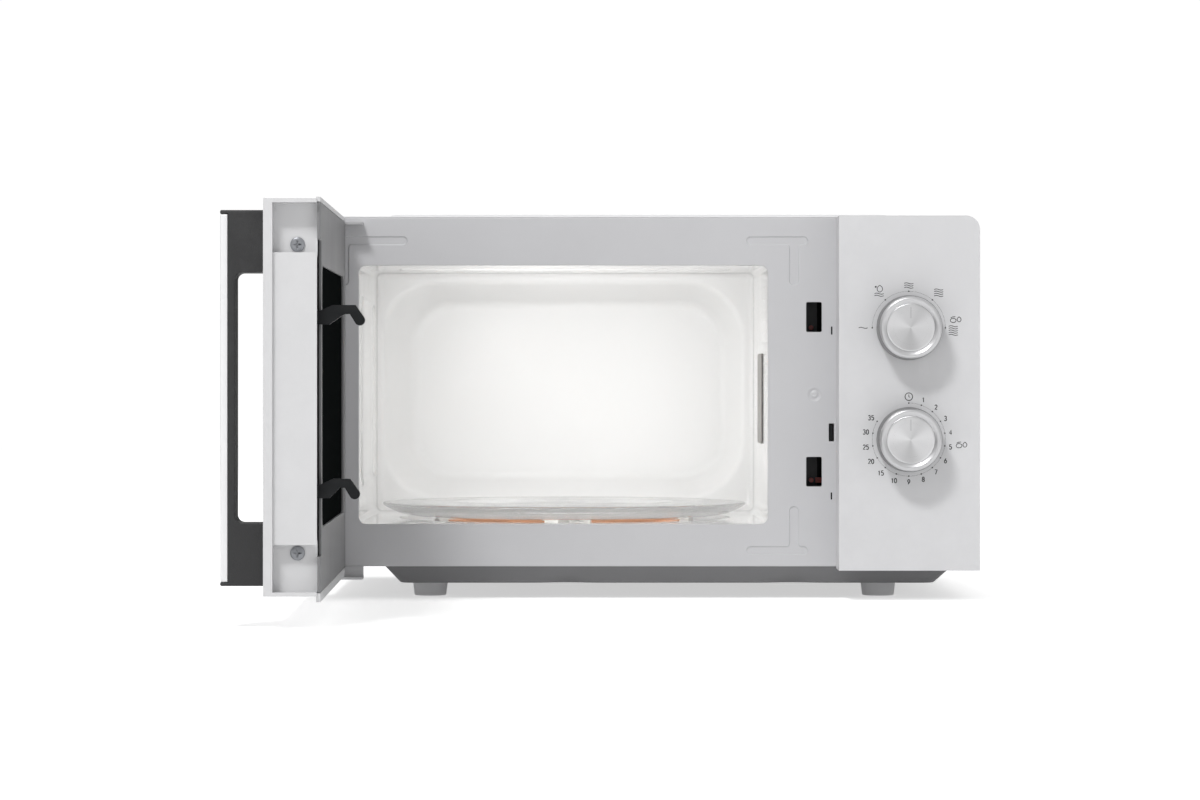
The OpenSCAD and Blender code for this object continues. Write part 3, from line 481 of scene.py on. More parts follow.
def arcPath(u, v, ru, rv, start, end, count=12):
    angles = [math.radians(start + (end - start) * k / count) for k in range(count + 1)]
    return [(u + ru * math.cos(a), v + rv * math.sin(a)) for a in angles]


def isInside(spot, outline):
    crossings = 0
    for a, b in zip(outline, outline[1:] + outline[:1]):
        if (a.y > spot.y) != (b.y > spot.y) and spot.x < a.x + (spot.y - a.y) / (b.y - a.y) * (b.x - a.x):
            crossings += 1
    return crossings % 2 == 1


class Form:
    # Collects rings of points and joins them; along is the axis that depth runs on
    def __init__(self, along):
        self.along = along
        self.points = []
        self.faces = []

    def shape(self):
        return self.points, self.faces

    def ring(self, outline, depth):
        start = len(self.points)
        order = {"x": (2, 0, 1), "y": (0, 2, 1), "z": (0, 1, 2)}[self.along]
        self.points.extend(tuple((u, v, depth)[i] for i in order) for u, v in outline)
        return list(range(start, len(self.points)))

    def bridge(self, a, b):
        for i in range(len(a)):
            j = (i + 1) % len(a)
            self.faces.append((a[i], a[j], b[j], b[i]))

    def loft(self, rings):
        for a, b in zip(rings, rings[1:]):
            self.bridge(a, b)
        return rings

    def fill(self, *loops):
        flat = [i for loop in loops for i in loop]
        pick = {"y": (0, 2), "x": (1, 2), "z": (0, 1)}[self.along]
        shapes = [[Vector([self.points[i][k] for k in pick]) for i in loop] for loop in loops]
        edges = []
        start = 0
        for loop in loops:
            edges.extend((start + i, start + (i + 1) % len(loop)) for i in range(len(loop)))
            start += len(loop)
        spots = [p for shape in shapes for p in shape]
        found, _, triangles, origins, _, _ = delaunay_2d_cdt(spots, edges, [], 0, 1e-6)
        depth = self.points[flat[0]]["xyz".index(self.along)]
        places = []
        for k, spot in enumerate(found):
            if origins[k]:
                places.append(flat[origins[k][0]])
                continue
            place = [depth] * 3
            place[pick[0]], place[pick[1]] = spot
            places.append(len(self.points))
            self.points.append(tuple(place))
        for triangle in triangles:
            middle = sum((found[i] for i in triangle), Vector((0.0, 0.0))) / len(triangle)
            if isInside(middle, shapes[0]) and not any(isInside(middle, hole) for hole in shapes[1:]):
                self.faces.append(tuple(places[i] for i in triangle))


# Slab between two depths with rounded rims, and with holes through it
def slab(along, outer, outerRadii, depth, rim, holes=(), steps=6):
    form = Form(along)
    near, far = depth
    sign = 1 if far > near else -1
    roll = ((1.0, 0.0), (0.3, 0.3), (0.0, 1.0))

    def rings(corners, radii, inward, count):
        levels = [(share, near + sign * rim * sink) for share, sink in roll]
        levels += [(share, far - sign * rim * sink) for share, sink in reversed(roll)]
        made = form.loft([form.ring(roundedOutline(corners, radii, inward * rim * share, count), level)
                          for share, level in levels])
        return made[0], made[-1]

    fronts, backs = zip(*([rings(outer, outerRadii, 1.0, steps)] +
                          [rings(corners, radii, -1.0, count) for corners, radii, count in holes]))
    form.fill(*fronts)
    form.fill(*backs)
    return form.shape()


# Turned piece from [radius, height] points about an axis through middle; front is towards lower y
def turned(profile, middle, axis, steps=96, closed=False):
    points = []
    faces = []
    count = len(profile)
    for k in range(steps):
        a = 2 * pi * k / steps
        for radius, height in profile:
            u, v = radius * math.cos(a), radius * math.sin(a)
            offset = {"front": (u, -height, v), "z": (u, v, height), "x": (height, u, v)}[axis]
            points.append(tuple(m + d for m, d in zip(middle, offset)))
    for k in range(steps):
        m = (k + 1) % steps
        for i in range(count if closed else count - 1):
            j = (i + 1) % count
            faces.append((k * count + i, m * count + i, m * count + j, k * count + j))
    return points, faces


def joined(shapes):
    points = []
    faces = []
    for more, links in shapes:
        faces.extend(tuple(len(points) + i for i in face) for face in links)
        points.extend(more)
    return points, faces


def cutAway(obj, cutter):
    cut = obj.modifiers.new("cut", "BOOLEAN")
    cut.operation = "DIFFERENCE"
    cut.solver = "EXACT"
    cut.object = cutter
    obj.modifiers.move(len(obj.modifiers) - 1, 0)
    bpy.context.view_layer.update()
    shape = bpy.data.meshes.new_from_object(obj.evaluated_get(bpy.context.evaluated_depsgraph_get()))
    obj.modifiers.clear()
    obj.data = shape
    bpy.data.objects.remove(cutter)
    softEdges(obj)


def box(x, y, z):
    points = [(*corner, c) for c in z for corner in rectangle(x, y)]
    return points, [(0, 1, 2, 3), (4, 5, 6, 7), (0, 1, 5, 4), (1, 2, 6, 5), (2, 3, 7, 6), (3, 0, 4, 7)]


frontFrame = {
    "width": (-219.1, 218.3), "height": (21.7, 255.5), "corner": 4.6,
    "mouthX": (-193, 80.8), "mouthZ": (50.2, 223.3), "mouthCorner": 5.0,
    "slotX": (106.6, 117), "slotZ": ((75.3, 95.1), (178.8, 198.8)),
    "grooveDepth": 0.74, "grooveSlope": 0.85,
    "dimple": (112.2, 136.9), "dimpleRadius": 4.8,
    "smallSlots": (((123.2, 124.2), (177, 182.5)), ((121.7, 125.2), (105.5, 117.5)),
                   ((123, 124), (66.5, 71.3))),
}


def teeCorners(bar, stem, barZ, stemEnd, stroke=6.0):
    low, high = barZ - stroke / 2, barZ + stroke / 2
    if stemEnd < barZ:
        return [(bar[0], low), (stem[0], low), (stem[0], stemEnd), (stem[1], stemEnd), (stem[1], low),
                (bar[1], low), (bar[1], high), (bar[0], high)], [2.9, 1.6, 3.2, 3.2, 1.6, 2.9, 2.9, 2.9]
    return [(bar[0], low), (bar[1], low), (bar[1], high), (stem[1], high), (stem[1], stemEnd),
            (stem[0], stemEnd), (stem[0], high), (bar[0], high)], [2.9, 2.9, 2.9, 1.6, 3.2, 3.2, 1.6, 2.9]


def makeFrontFrame(s):
    form = Form("y")
    outer = rectangle(s["width"], s["height"])
    rim = form.loft([form.ring(roundedOutline(outer, s["corner"], inset, 8), y) for inset, y in (
        (1.1, 0.0), (0.35, 0.28), (0.0, 1.0), (0.0, 10.0), (0.8, 10.0), (0.8, 1.4), (1.4, 0.8))])
    fronts = [rim[0]]
    backs = [rim[-1]]
    cuts = [(rectangle(s["mouthX"], s["mouthZ"]), s["mouthCorner"], 8, 0.6)]
    cuts += [(rectangle(s["slotX"], z), 1.0, 4, 0.25) for z in s["slotZ"]]
    cuts += [(rectangle(x, z), 0.3, 2, 0.15) for x, z in s["smallSlots"]]
    for corners, radius, steps, roll in cuts:
        made = form.loft([form.ring(roundedOutline(corners, radius, -grow, steps), y) for grow, y in (
            (roll, 0.0), (roll * 0.3, roll * 0.3), (0.0, roll), (0.0, 0.8))])
        fronts.append(made[0])
        backs.append(made[-1])
    grooves = [teeCorners((66.5, 107.8), (95.1, 101.8), 239.9, 209.8),
               teeCorners((66.5, 107.8), (95.1, 101.8), 32.4, 62.2),
               ([(-206, 209.8), (-199.6, 209.8), (-199.6, 236.9), (-160.5, 236.9), (-160.5, 242.9),
                 (-206, 242.9)], [3.1, 3.1, 1.6, 2.9, 2.9, 2.9])]
    d = s["grooveDepth"]
    w = s["grooveSlope"]
    for corners, radii in grooves:
        made = form.loft([form.ring(roundedOutline(corners, radii, w * share, 6), d * sink)
                          for share, sink in ((-0.25, 0.0), (0.1, 0.12), (0.75, 0.88), (1.1, 1.0))])
        form.fill(made[-1])
        fronts.append(made[0])
    # Locating dimple: a ring trough with a dome in its middle
    u, v = s["dimple"]
    r = s["dimpleRadius"]
    made = form.loft([form.ring(circleCorners(u, v, r * a, 40), y) for a, y in (
        (1.0, 0.0), (0.92, 0.12), (0.72, 0.6), (0.58, 0.7), (0.42, 0.35), (0.3, 0.1), (0.18, 0.16),
        (0.06, 0.3))])
    form.fill(made[-1])
    fronts.append(made[0])
    form.fill(*fronts)
    form.fill(*backs)
    addPiece("frontFrame", form.shape(), "cabinet", "frame_paint", "framePaint", "front_plate", angle=28)


makeFrontFrame(frontFrame)

cookingSpace = {
    "x": (-195, 82.3), "z": (50, 225), "back": 289, "corner": 4.2, "cornerFillet": 5.0,
    "bulgeOuter": (266.5, 158.5, 44.0, -58.4, 138.6), "bulgeInner": (231.0, 130.2, 30.0, -54.7, 138.5),
    "bulgeBack": 314, "sheet": 0.75,
}


def makeCavityBack(s):
    form = Form("y")
    x0, x1 = s["x"]
    z0, z1 = s["z"]
    wall = rectangle((x0 + 0.05, x1 - 0.05), (z0 + 0.05, z1 - 0.05))
    f = s["cornerFillet"]
    made = []
    for k in range(6):
        a = pi / 2 * k / 5
        made.append(form.ring(roundedOutline(wall, s["corner"] + 0.1, f * (1 - math.cos(a)), 16),
                              s["back"] - f * (1 - math.sin(a)) - 0.02))
    outer = s["bulgeOuter"]
    inner = s["bulgeInner"]
    depth = s["bulgeBack"] - s["back"]

    def oval(share):
        w, h, r, u, v = (a + (b - a) * share for a, b in zip(outer, inner))
        return roundedOutline(rectangle((u - w / 2, u + w / 2), (v - h / 2, v + h / 2)), r, 0.0, 16)

    for share, sink in ((-0.22, 0.0), (-0.1, 0.012), (0.0, 0.045), (0.08, 0.1), (0.16, 0.17), (0.5, 0.49),
                        (0.84, 0.8), (0.92, 0.87), (1.02, 0.935), (1.15, 0.98), (1.35, 1.0)):
        made.append(form.ring(oval(share), s["back"] + depth * sink))
    form.loft(made)
    form.fill(made[-1])
    # Back of the sheet, joined to its front round the rim
    skins = []
    for ring in made:
        skins.append(list(range(len(form.points), len(form.points) + len(ring))))
        form.points.extend((x, y + s["sheet"], z) for x, y, z in [form.points[i] for i in ring])
    form.loft(skins)
    form.fill(skins[-1])
    form.bridge(skins[0], made[0])
    addPiece("cavityBack", form.shape(), "cabinet", "enamel", "enamelWhite", "cavity_back", angle=60)


makeCavityBack(cookingSpace)
roundedNode("cavity_liner", "cavityWalls", 0.25, "enamelWhite")

# Ribs pressed into the walls of the cooking space
wallPressing = {"ceilingX": (-174, 62), "ceilingY": 176, "sideY": (70, 240), "sideZ": (72, 206), "rise": 0.9,
                "width": 7.0}


def makeWallPressings(s):
    x0 = cookingSpace["x"][0]
    z1 = cookingSpace["z"][1]
    rise = s["rise"]
    w = s["width"]
    roll = ((0.0, 0.0), (0.12, 0.25), (0.3, 0.8), (0.5, 1.0), (0.7, 0.8), (0.88, 0.25), (1.0, 0.0))
    form = Form("z")
    bar = rectangle(s["ceilingX"], (s["ceilingY"] - w / 2, s["ceilingY"] + w / 2))
    made = form.loft([form.ring(roundedOutline(bar, w / 2 - 0.05, w * 0.45 * share, 8),
                                z1 + 0.03 - rise * lift)
                      for share, lift in ((0.0, 0.0), (0.25, 0.3), (0.6, 0.85), (0.95, 1.0))])
    form.fill(made[-1])
    form.fill(made[0])
    addPiece("ceilingRib", form.shape(), "cabinet", "enamel", "enamelWhite", angle=60)
    form = Form("x")
    loop = rectangle(s["sideY"], s["sideZ"])
    made = form.loft([form.ring(roundedOutline(loop, 18.0, w * share, 12), x0 - 0.03 + rise * lift)
                      for share, lift in roll])
    form.bridge(made[-1], made[0])
    addPiece("sideRib", form.shape(), "cabinet", "enamel", "enamelWhite", angle=60)


makeWallPressings(wallPressing)
for nodeName, pieceName, width, finish in (
        ("mica_cover", "micaCover", 0.2, "micaSheet"),
        ("cabinet_wrapper", "cabinetWrapper", 0.3, "whitePaint"),
        ("rear_plate", "rearPlate", 0.2, "whitePaint"),
        ("upper_hinge_bracket", "upperHingeBracket", 0.3, "bracketSteel"),
        ("lower_hinge_bracket", "lowerHingeBracket", 0.3, "bracketSteel"),
        ("hinge_pins", "hingePins", 0.6, "zincSteel"),
        ("latch_board", "latchBoard", 0.3, "blackPlastic"),
        ("cord_gland", "cordGland", 0.5, "glandRubber")):
    roundedNode(nodeName, pieceName, width, finish)

basePan = {
    "topX": (-176, 205), "topY": (1.2, 308), "topZ": 21.7, "lowX": (-165.6, 192.9), "lowY": (9, 300),
    "lowZ": 10.3, "corner": 7.0, "dents": ((-54, 24), (97, 24)), "dentDepth": 7.0,
    "sheet": 0.8,
}


# The front edge has extra columns, which carry its two dents
def panOutline(s, share, drop):
    columns = 150
    x = [a + (b - a) * share for a, b in zip(s["topX"], s["lowX"])]
    y = [a + (b - a) * share for a, b in zip(s["topY"], s["lowY"])]
    r = s["corner"]
    ring = []
    for k in range(columns + 1):
        u = x[0] + r + (x[1] - x[0] - 2 * r) * k / columns
        v = y[0]
        for middle, half in s["dents"]:
            reach = abs(u - middle) / (half * (0.3 + 0.7 * drop))
            if reach < 1:
                v += s["dentDepth"] * (0.5 + 0.5 * math.cos(pi * reach)) * drop
        ring.append((u, v))
    for u, v, start in ((x[1] - r, y[0] + r, -90), (x[1] - r, y[1] - r, 0), (x[0] + r, y[1] - r, 90),
                        (x[0] + r, y[0] + r, 180)):
        corner = arcPath(u, v, r, r, start, start + 90, 8)
        ring.extend(corner[1 if start == -90 else 0:8 if start == 180 else 9])
    return ring


def makeBasePan(s):
    form = Form("z")
    rows = ((0.0, 0.0), (0.25, 0.25), (0.5, 0.5), (0.75, 0.75), (0.9, 0.9), (0.97, 0.965), (1.02, 0.992),
            (1.08, 1.0))
    height = s["topZ"] - s["lowZ"]
    sheet = s["sheet"]
    middle = (sum(s["topX"]) / 2, sum(s["topY"]) / 2)
    shrink = [1 - 2 * sheet / (high - low) for low, high in (s["topX"], s["topY"])]
    outer = []
    inner = []
    # Inner skin: one sheet's thickness inside the outer one, joined to it round the top
    for share, drop in rows:
        ring = panOutline(s, share, drop)
        z = s["topZ"] - height * drop
        outer.append(form.ring(ring, z))
        inner.append(form.ring([[m + (p - m) * k for p, m, k in zip(spot, middle, shrink)] for spot in ring],
                               z + sheet * min(1.0, drop)))
    form.loft(inner[::-1] + outer)
    form.faces.extend([tuple(inner[-1]), tuple(outer[-1])])
    # Rim that the cabinet's screws hold
    x0, x1 = s["topX"]
    rimX = (frontFrame["width"][0] + 1, frontFrame["width"][1] - 1)
    rimZ = (s["topZ"] - sheet, s["topZ"])
    rim = [box((rimX[0], x0 + 2), (60, 319), rimZ), box((x1 - 2, rimX[1]), (1.2, 319), rimZ),
           box((x0 + 2, x1 - 2), (s["topY"][1] - 2, 319), rimZ)]
    addPiece("basePan", joined([form.shape()] + rim), "cabinet", slotOf["base_pan"], "panSteel", "base_pan")


makeBasePan(basePan)
roundedNode("feet", "feet", 0.8, "handleWhite", segments=3)


# Cross-headed screws: domed heads, each with a cross sunk into it down to the floor of the cross.
# The cross is given by the half sizes of its two arms and by where it starts on the axis
def makeScrews(name, node, finish, s, axis, body, crossFrom, crossTo):
    r = s["radius"]
    h = s["height"]
    dome = [(r * math.sin(a), abs(h) * (0.45 + 0.55 * math.cos(a)) * (1 if h > 0 else -1))
            for a in [pi / 2 * k / 7 for k in range(1, 8)]]
    profile = [(0.0, h)] + dome + [(r, 0.0), (0.0, 0.0)]
    screws = addPiece(name, joined([turned(profile, middle, axis, 40) for middle in s["places"]]), body,
                      slotOf[node], finish, node)
    for long, short in ((s["cross"], s["arm"]), (s["arm"], s["cross"])):
        arms = []
        for x, y, z in s["places"]:
            if axis == "x":
                arms.append(box((x + crossFrom, x + crossTo), (y - long, y + long), (z - short, z + short)))
            else:
                arms.append(box((x - long, x + long), (y + crossFrom, y + crossTo), (z - short, z + short)))
        points, faces = joined(arms)
        cutAway(screws, buildMesh("cutter", inCabinet(points), faces, body == "door"))


rearScrews = {"places": [(-205, 320.8, 240), (-205, 320.8, 60), (0, 320.8, 248), (205, 320.8, 240),
                         (205, 320.8, 60)],
              "radius": 3.9, "height": -1.8, "cross": 2.2, "arm": 0.4}
makeScrews("rearScrews", "case_screws", "zincSteel", rearScrews, "front", "cabinet", 0.9, 4)
print("stage: cabinet done")

roundedNode("control_panel", "controlPanel", 0.9, "panelPlastic", segments=3)

dials = {
    "x": 172.8, "powerZ": 181.2, "timerZ": 107.2, "face": -33.4, "arcRadius": 24.2,
    "digitRadius": 28.0, "digitSize": 3.0, "digitStroke": 0.6, "stroke": 0.45, "dot": 0.36, "mark": 0.5,
    "timerMarks": ((0, ""), (20, "1"), (40, "2"), (60, "3"), (80, "4"), (100, "5"), (120, "6"), (140, "7"),
                   (160, "8"), (180, "9"), (200, "10"), (220, "15"), (240, "20"), (260, "25"), (280, "30"),
                   (300, "35")),
    "powerMarks": (-90, -40, 0, 40, 90),
}


# Strokes of each figure in a box half as wide as it is high
digitPaths = {
    "0": [arcPath(0.25, 0.5, 0.25, 0.5, 90, 450, 20)],
    "1": [[(0.08, 0.8), (0.3, 1.0), (0.3, 0.0)]],
    "2": [arcPath(0.25, 0.74, 0.23, 0.26, 170, -25, 10) + [(0.02, 0.0), (0.5, 0.0)]],
    "3": [arcPath(0.23, 0.75, 0.22, 0.25, 150, -90, 10), arcPath(0.23, 0.26, 0.25, 0.26, 90, -150, 12)],
    "4": [[(0.38, 0.0), (0.38, 1.0), (0.0, 0.28), (0.52, 0.28)]],
    "5": [[(0.46, 1.0), (0.08, 1.0), (0.05, 0.55)] + arcPath(0.23, 0.31, 0.26, 0.31, 110, -145, 12)],
    "6": [[(0.4, 1.0), (0.14, 0.66)] + arcPath(0.25, 0.3, 0.24, 0.3, 150, 510, 18)],
    "7": [[(0.0, 1.0), (0.5, 1.0), (0.16, 0.0)]],
    "8": [arcPath(0.25, 0.76, 0.2, 0.24, 90, 450, 16), arcPath(0.25, 0.26, 0.25, 0.26, 90, 450, 16)],
    "9": [[(0.1, 0.0), (0.36, 0.34)] + arcPath(0.25, 0.7, 0.24, 0.3, -30, 330, 18)],
}


def dialPoint(middle, radius, degrees):
    a = math.radians(degrees)
    return middle[0] + radius * math.sin(a), middle[1] + radius * math.cos(a)


# Collects narrow flat marks on a face that looks to the front
class Ink:
    thickness = 0.04

    def __init__(self, y):
        self.y = y
        self.points = []
        self.faces = []

    def stroke(self, path, width, closed=False):
        count = len(path)
        start = len(self.points)
        for i, (u, v) in enumerate(path):
            a = path[(i - 1) % count] if closed or i else path[i]
            b = path[(i + 1) % count] if closed or i < count - 1 else path[i]
            along = Vector((b[0] - a[0], b[1] - a[1])).normalized()
            n = Vector((-along.y, along.x)) * (width / 2)
            for side, depth in ((1, 0.0), (-1, 0.0), (-1, self.thickness), (1, self.thickness)):
                self.points.append((u + n.x * side, self.y - depth, v + n.y * side))
        for i in range(count if closed else count - 1):
            j = (i + 1) % count
            for k in range(4):
                m = (k + 1) % 4
                corners = ((i, k), (j, k), (j, m), (i, m))
                self.faces.append(tuple(start + spot * 4 + corner for spot, corner in corners))
        if not closed:
            for spot in (0, count - 1):
                self.faces.append(tuple(start + spot * 4 + k for k in range(4)))

    def dot(self, u, v, radius, sides=10):
        start = len(self.points)
        ring = circleCorners(u, v, radius, sides)
        for y in (self.y, self.y - self.thickness):
            self.points.extend((a, y, b) for a, b in ring)
        self.faces.append(tuple(start + sides + k for k in range(sides)))
        self.faces.append(tuple(start + k for k in range(sides)))
        for k in range(sides):
            m = (k + 1) % sides
            self.faces.append((start + k, start + m, start + sides + m, start + sides + k))

    def waves(self, u, v, rows, width, length=6.0, pitch=1.42, swell=0.36):
        for row in range(rows):
            level = v + (row - (rows - 1) / 2) * pitch
            self.stroke([(u - length / 2 + length * k / 16, level + swell * math.sin(2 * pi * k / 16))
                         for k in range(17)], width)

    def drop(self, u, v, size, width):
        path = []
        for k in range(20):
            a = 2 * pi * k / 20
            pinch = 1 - 0.55 * max(0.0, math.cos(a)) ** 2
            path.append((u + size * 0.5 * math.sin(a) * pinch, v + size * 0.62 * math.cos(a)))
        self.stroke(path, width, closed=True)


def makeDialPrint(s):
    y = s["face"] + 0.01
    ink = Ink(y)
    power = (s["x"], s["powerZ"])
    timer = (s["x"], s["timerZ"])
    stroke = s["stroke"]
    for middle, steps in ((power, range(-45, 46)), (timer, range(1, 150))):
        for k in steps:
            ink.dot(*dialPoint(middle, s["arcRadius"], 2 * k), s["dot"] / 2)
    for a in s["powerMarks"]:
        ink.dot(*dialPoint(power, s["arcRadius"], a), s["mark"])
    for a, _ in s["timerMarks"]:
        ink.dot(*dialPoint(timer, s["arcRadius"], a), s["mark"])
    # Power levels: one wave for low, up to five for high
    for rows, radius, degrees, du, dv in (
            (1, 30.2, -90, 0, 0), (2, 29.4, -40, -0.8, -0.6), (3, 28.0, 0, 0, 0), (4, 29.8, 40, 0.6, 0.4),
            (5, 29.4, 90, 0, -1.8)):
        u, v = dialPoint(power, radius, degrees)
        ink.waves(u + du, v + dv, rows, stroke)
    u, v = dialPoint(power, 29.4, -40)
    ink.drop(u - 0.3, v + 3.4, 3.6, stroke)
    ink.dot(u - 3.0, v + 4.6, 0.65)
    # A bowl, a drop and a stroke for thawing, at both dials
    u, v = dialPoint(power, 29.4, 90)
    for u, v in ((u, v + 4.9), dialPoint(timer, 33.5, 97)):
        ink.stroke(arcPath(u, v, 1.9, 1.4, 0, 360, 18)[:-1], stroke, closed=True)
        ink.drop(u + 3.9, v + 0.7, 2.6, stroke)
        ink.stroke([(u - 1.6, v + 1.7), (u - 0.4, v + 2.3), (u + 1.4, v + 2.5)], stroke)
    # Clock face over the timer's off position
    u, v = dialPoint(timer, 28.4, 0)
    ink.stroke(circleCorners(u, v, 2.5, 32), stroke * 1.2, closed=True)
    ink.stroke([(u, v + 1.5), (u, v - 0.1), (u + 0.9, v - 0.4)], stroke)
    addPiece("dialPrint", (ink.points, ink.faces), "cabinet", None, "dialPrint")
    ink = Ink(y)
    h = s["digitSize"]
    pitch = h * 0.72
    for a, label in s["timerMarks"]:
        u, v = dialPoint(timer, s["digitRadius"] + (0.9 if len(label) > 1 else 0.0), a)
        for k, figure in enumerate(label):
            left = u + (k - (len(label) - 1) / 2) * pitch
            for path in digitPaths[figure]:
                ink.stroke([(left + (c - 0.25) * h, v + (d - 0.5) * h) for c, d in path], s["digitStroke"])
    addPiece("timerDigits", (ink.points, ink.faces), "cabinet", None, "dialPrint")


makeDialPrint(dials)

knob = {"base": -33.9, "rim": 21.5, "height": 20.0, "disc": 15.7, "lineFrom": 6.0, "lineTo": 13.6,
        "lineWidth": 0.7}


def makeKnob(s, name, z, body, knobNode, discNode):
    h = s["height"]
    r = s["rim"]
    profile = [(3.1, 2.0), (7.0, 2.0), (7.0, 14.0), (r - 3.0, 14.0), (r - 3.0, 0.3), (r - 2.6, 0.0),
               (r - 0.5, 0.0), (r - 0.1, 0.25), (r, 0.8), (r - 0.35, h - 6.0), (r - 0.6, h - 3.4),
               (r - 0.9, h - 2.2), (r - 1.4, h - 1.2), (r - 2.1, h - 0.66), (r - 2.8, h - 0.5),
               (r - 3.5, h - 0.62), (r - 4.4, h - 1.1), (r - 5.1, h - 1.62), (s["disc"] + 0.25, h - 1.95),
               (s["disc"] + 0.1, h - 2.2), (s["disc"] + 0.1, h - 3.0), (3.1, h - 3.0)]
    centre = (dials["x"], s["base"], z)
    shell = addPiece(name, turned(profile, centre, "front", 128, closed=True), body, "knob_silver",
                     "knobSilver", knobNode, angle=30)
    # The outer side wall takes the dark knobSide finish: a painted dark reflection round the rim
    shell.data.materials.append(finishes["knobSide"])
    middle = inCabinet([centre])[0]
    for face in shell.data.polygons:
        away = face.center - middle
        if math.hypot(away.x, away.z) > (r - 0.95) * mm:
            face.material_index = 1
    d = s["disc"]
    disc = [(0.0, h - 2.25), (d * 0.5, h - 2.15), (d - 0.9, h - 1.95), (d - 0.35, h - 1.98), (d, h - 2.2),
            (d, h - 2.95), (0.0, h - 2.95)]
    points, faces = turned(disc, (0, 0, 0), "front", 128)
    # The disc's own centre is its origin, so that its turning lines run round it
    obj = buildMesh(name + "Disc", [Vector(p) * mm for p in points], faces)
    obj.location = middle
    register(softEdges(obj, 30), body, "brushedDisc", (discNode,))
    u = dials["x"]
    half = s["lineWidth"] / 2
    near = s["base"] - h + 2.02
    line = slab("y", rectangle((u - half, u + half), (z + s["lineFrom"], z + s["lineTo"])), half - 0.02,
                (near - 0.08, near + 0.3), 0.05)
    addPiece(name + "Line", line, body, None, "bracketSteel")


makeKnob(knob, "powerKnob", dials["powerZ"], bodyOf["power_knob"], "power_knob", "power_knob_disc")
makeKnob(knob, "timerKnob", dials["timerZ"], bodyOf["timer_knob"], "timer_knob", "timer_knob_disc")
print("stage: controls done")

roundedNode("door_frame", "doorFrame", 0.45, "doorPlastic")
roundedNode("door_plate", "doorPlate", 0.2, "zincSteel")
roundedNode("door_latch", "doorLatch", 0.9, "blackPlastic", segments=3)


def makeLatchSpring():
    mesh = nodes["latch_spring"].data.copy()
    mesh.name = "latchSpring"
    spring = softEdges(addObject("latchSpring", mesh), 50)
    register(spring, bodyOf["latch_spring"], "zincSteel", ("latch_spring",))
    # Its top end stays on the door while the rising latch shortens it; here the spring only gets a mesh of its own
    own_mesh(spring)


makeLatchSpring()

doorGlass = {"x": (-185.8, 69.8), "z": (44.2, 231.8), "y": (-34.5, -32.95), "corner": 7.8, "rim": 0.5}


addPiece("doorGlass", slab("y", rectangle(doorGlass["x"], doorGlass["z"]), doorGlass["corner"],
                           doorGlass["y"], doorGlass["rim"], steps=10),
         "door", "tinted_glass", "tintedGlass", "door_glass")

innerCover = {
    "left": -218.6, "right": 106.0, "tabRight": 121.8, "z": (21.3, 252.1), "tabZ": (42.6, 229.7),
    "y": (-1.0, -2.8), "windowX": (-199, 98), "windowZ": (59, 215), "windowCorner": 10.0, "rim": 0.5,
}


def makeInnerCover(s):
    z0, z1 = s["z"]
    t0, t1 = s["tabZ"]
    corners = [(s["left"], z0), (s["tabRight"], z0), (s["tabRight"], t0), (s["right"], t0), (s["right"], t1),
               (s["tabRight"], t1), (s["tabRight"], z1), (s["left"], z1)]
    cover = slab("y", corners, [1.2, 1.0, 1.0, 1.5, 1.5, 1.0, 1.0, 1.2], s["y"], s["rim"],
                 holes=[(rectangle(s["windowX"], s["windowZ"]), s["windowCorner"], 10)])
    addPiece("innerCover", cover, "door", "cover_plastic", "coverPlastic", "choke_cover")


makeInnerCover(innerCover)

innerWindow = {"x": (-201, 100), "z": (57, 217), "y": (-2.85, -3.6), "corner": 11.0, "rim": 0.15}


addPiece("innerWindow", slab("y", rectangle(innerWindow["x"], innerWindow["z"]), innerWindow["corner"],
                             innerWindow["y"], innerWindow["rim"], steps=10),
         "door", "window_film", "windowFilm", "inner_film")

doorScrews = {"places": [(114.85, -14.7, 44.7), (114.85, -14.7, 227)], "radius": 4.35, "height": 1.75,
              "cross": 2.3, "arm": 0.42}
makeScrews("doorScrews", "door_screws", "screwSteel", doorScrews, "x", "door", 0.7, 4)

handle = {
    "x": (84, 110), "z": (24.9, 247.6), "door": -34.55, "bar": -56.3, "cap": -60.9, "capHeight": 2.2,
    "gap": -51.9, "grip": (62.2, 210.5), "rim": 0.85,
}


def makeHandle(s):
    z0, z1 = s["z"]
    g0, g1 = s["grip"]
    c = s["capHeight"]
    door, gap, bar, cap = s["door"], s["gap"], s["bar"], s["cap"]
    corners = [(door, z0), (door, g0), (gap, g0), (gap, g1), (door, g1), (door, z1), (cap, z1), (cap, z1 - c),
               (bar, z1 - c), (bar, z0 + c), (cap, z0 + c), (cap, z0)]
    radii = [0.3, 2.6, 4.2, 4.2, 2.6, 0.3, 0.9, 0.35, 0.3, 0.3, 0.35, 0.9]
    addPiece("handleGrip", slab("x", corners, radii, s["x"], s["rim"], steps=8), "door", "grip_plastic",
             "gripPlastic", "handle_grip")
    cover = rectangle((cap + 0.05, bar - 0.05), (z0 + c + 0.12, z1 - c - 0.12))
    shell = slab("x", cover, [1.0, 0.3, 0.3, 1.0], (s["x"][0] + 0.1, s["x"][1] - 0.1), 1.1)
    addPiece("handleCover", shell, "door", "handle_white", "handleWhite", "handle_cover")


makeHandle(handle)
print("stage: door done")

tray = {"middle": (-56.2, 145), "radius": 127.5, "floor": 51.45, "lugRadius": 13, "lug": 3.2}


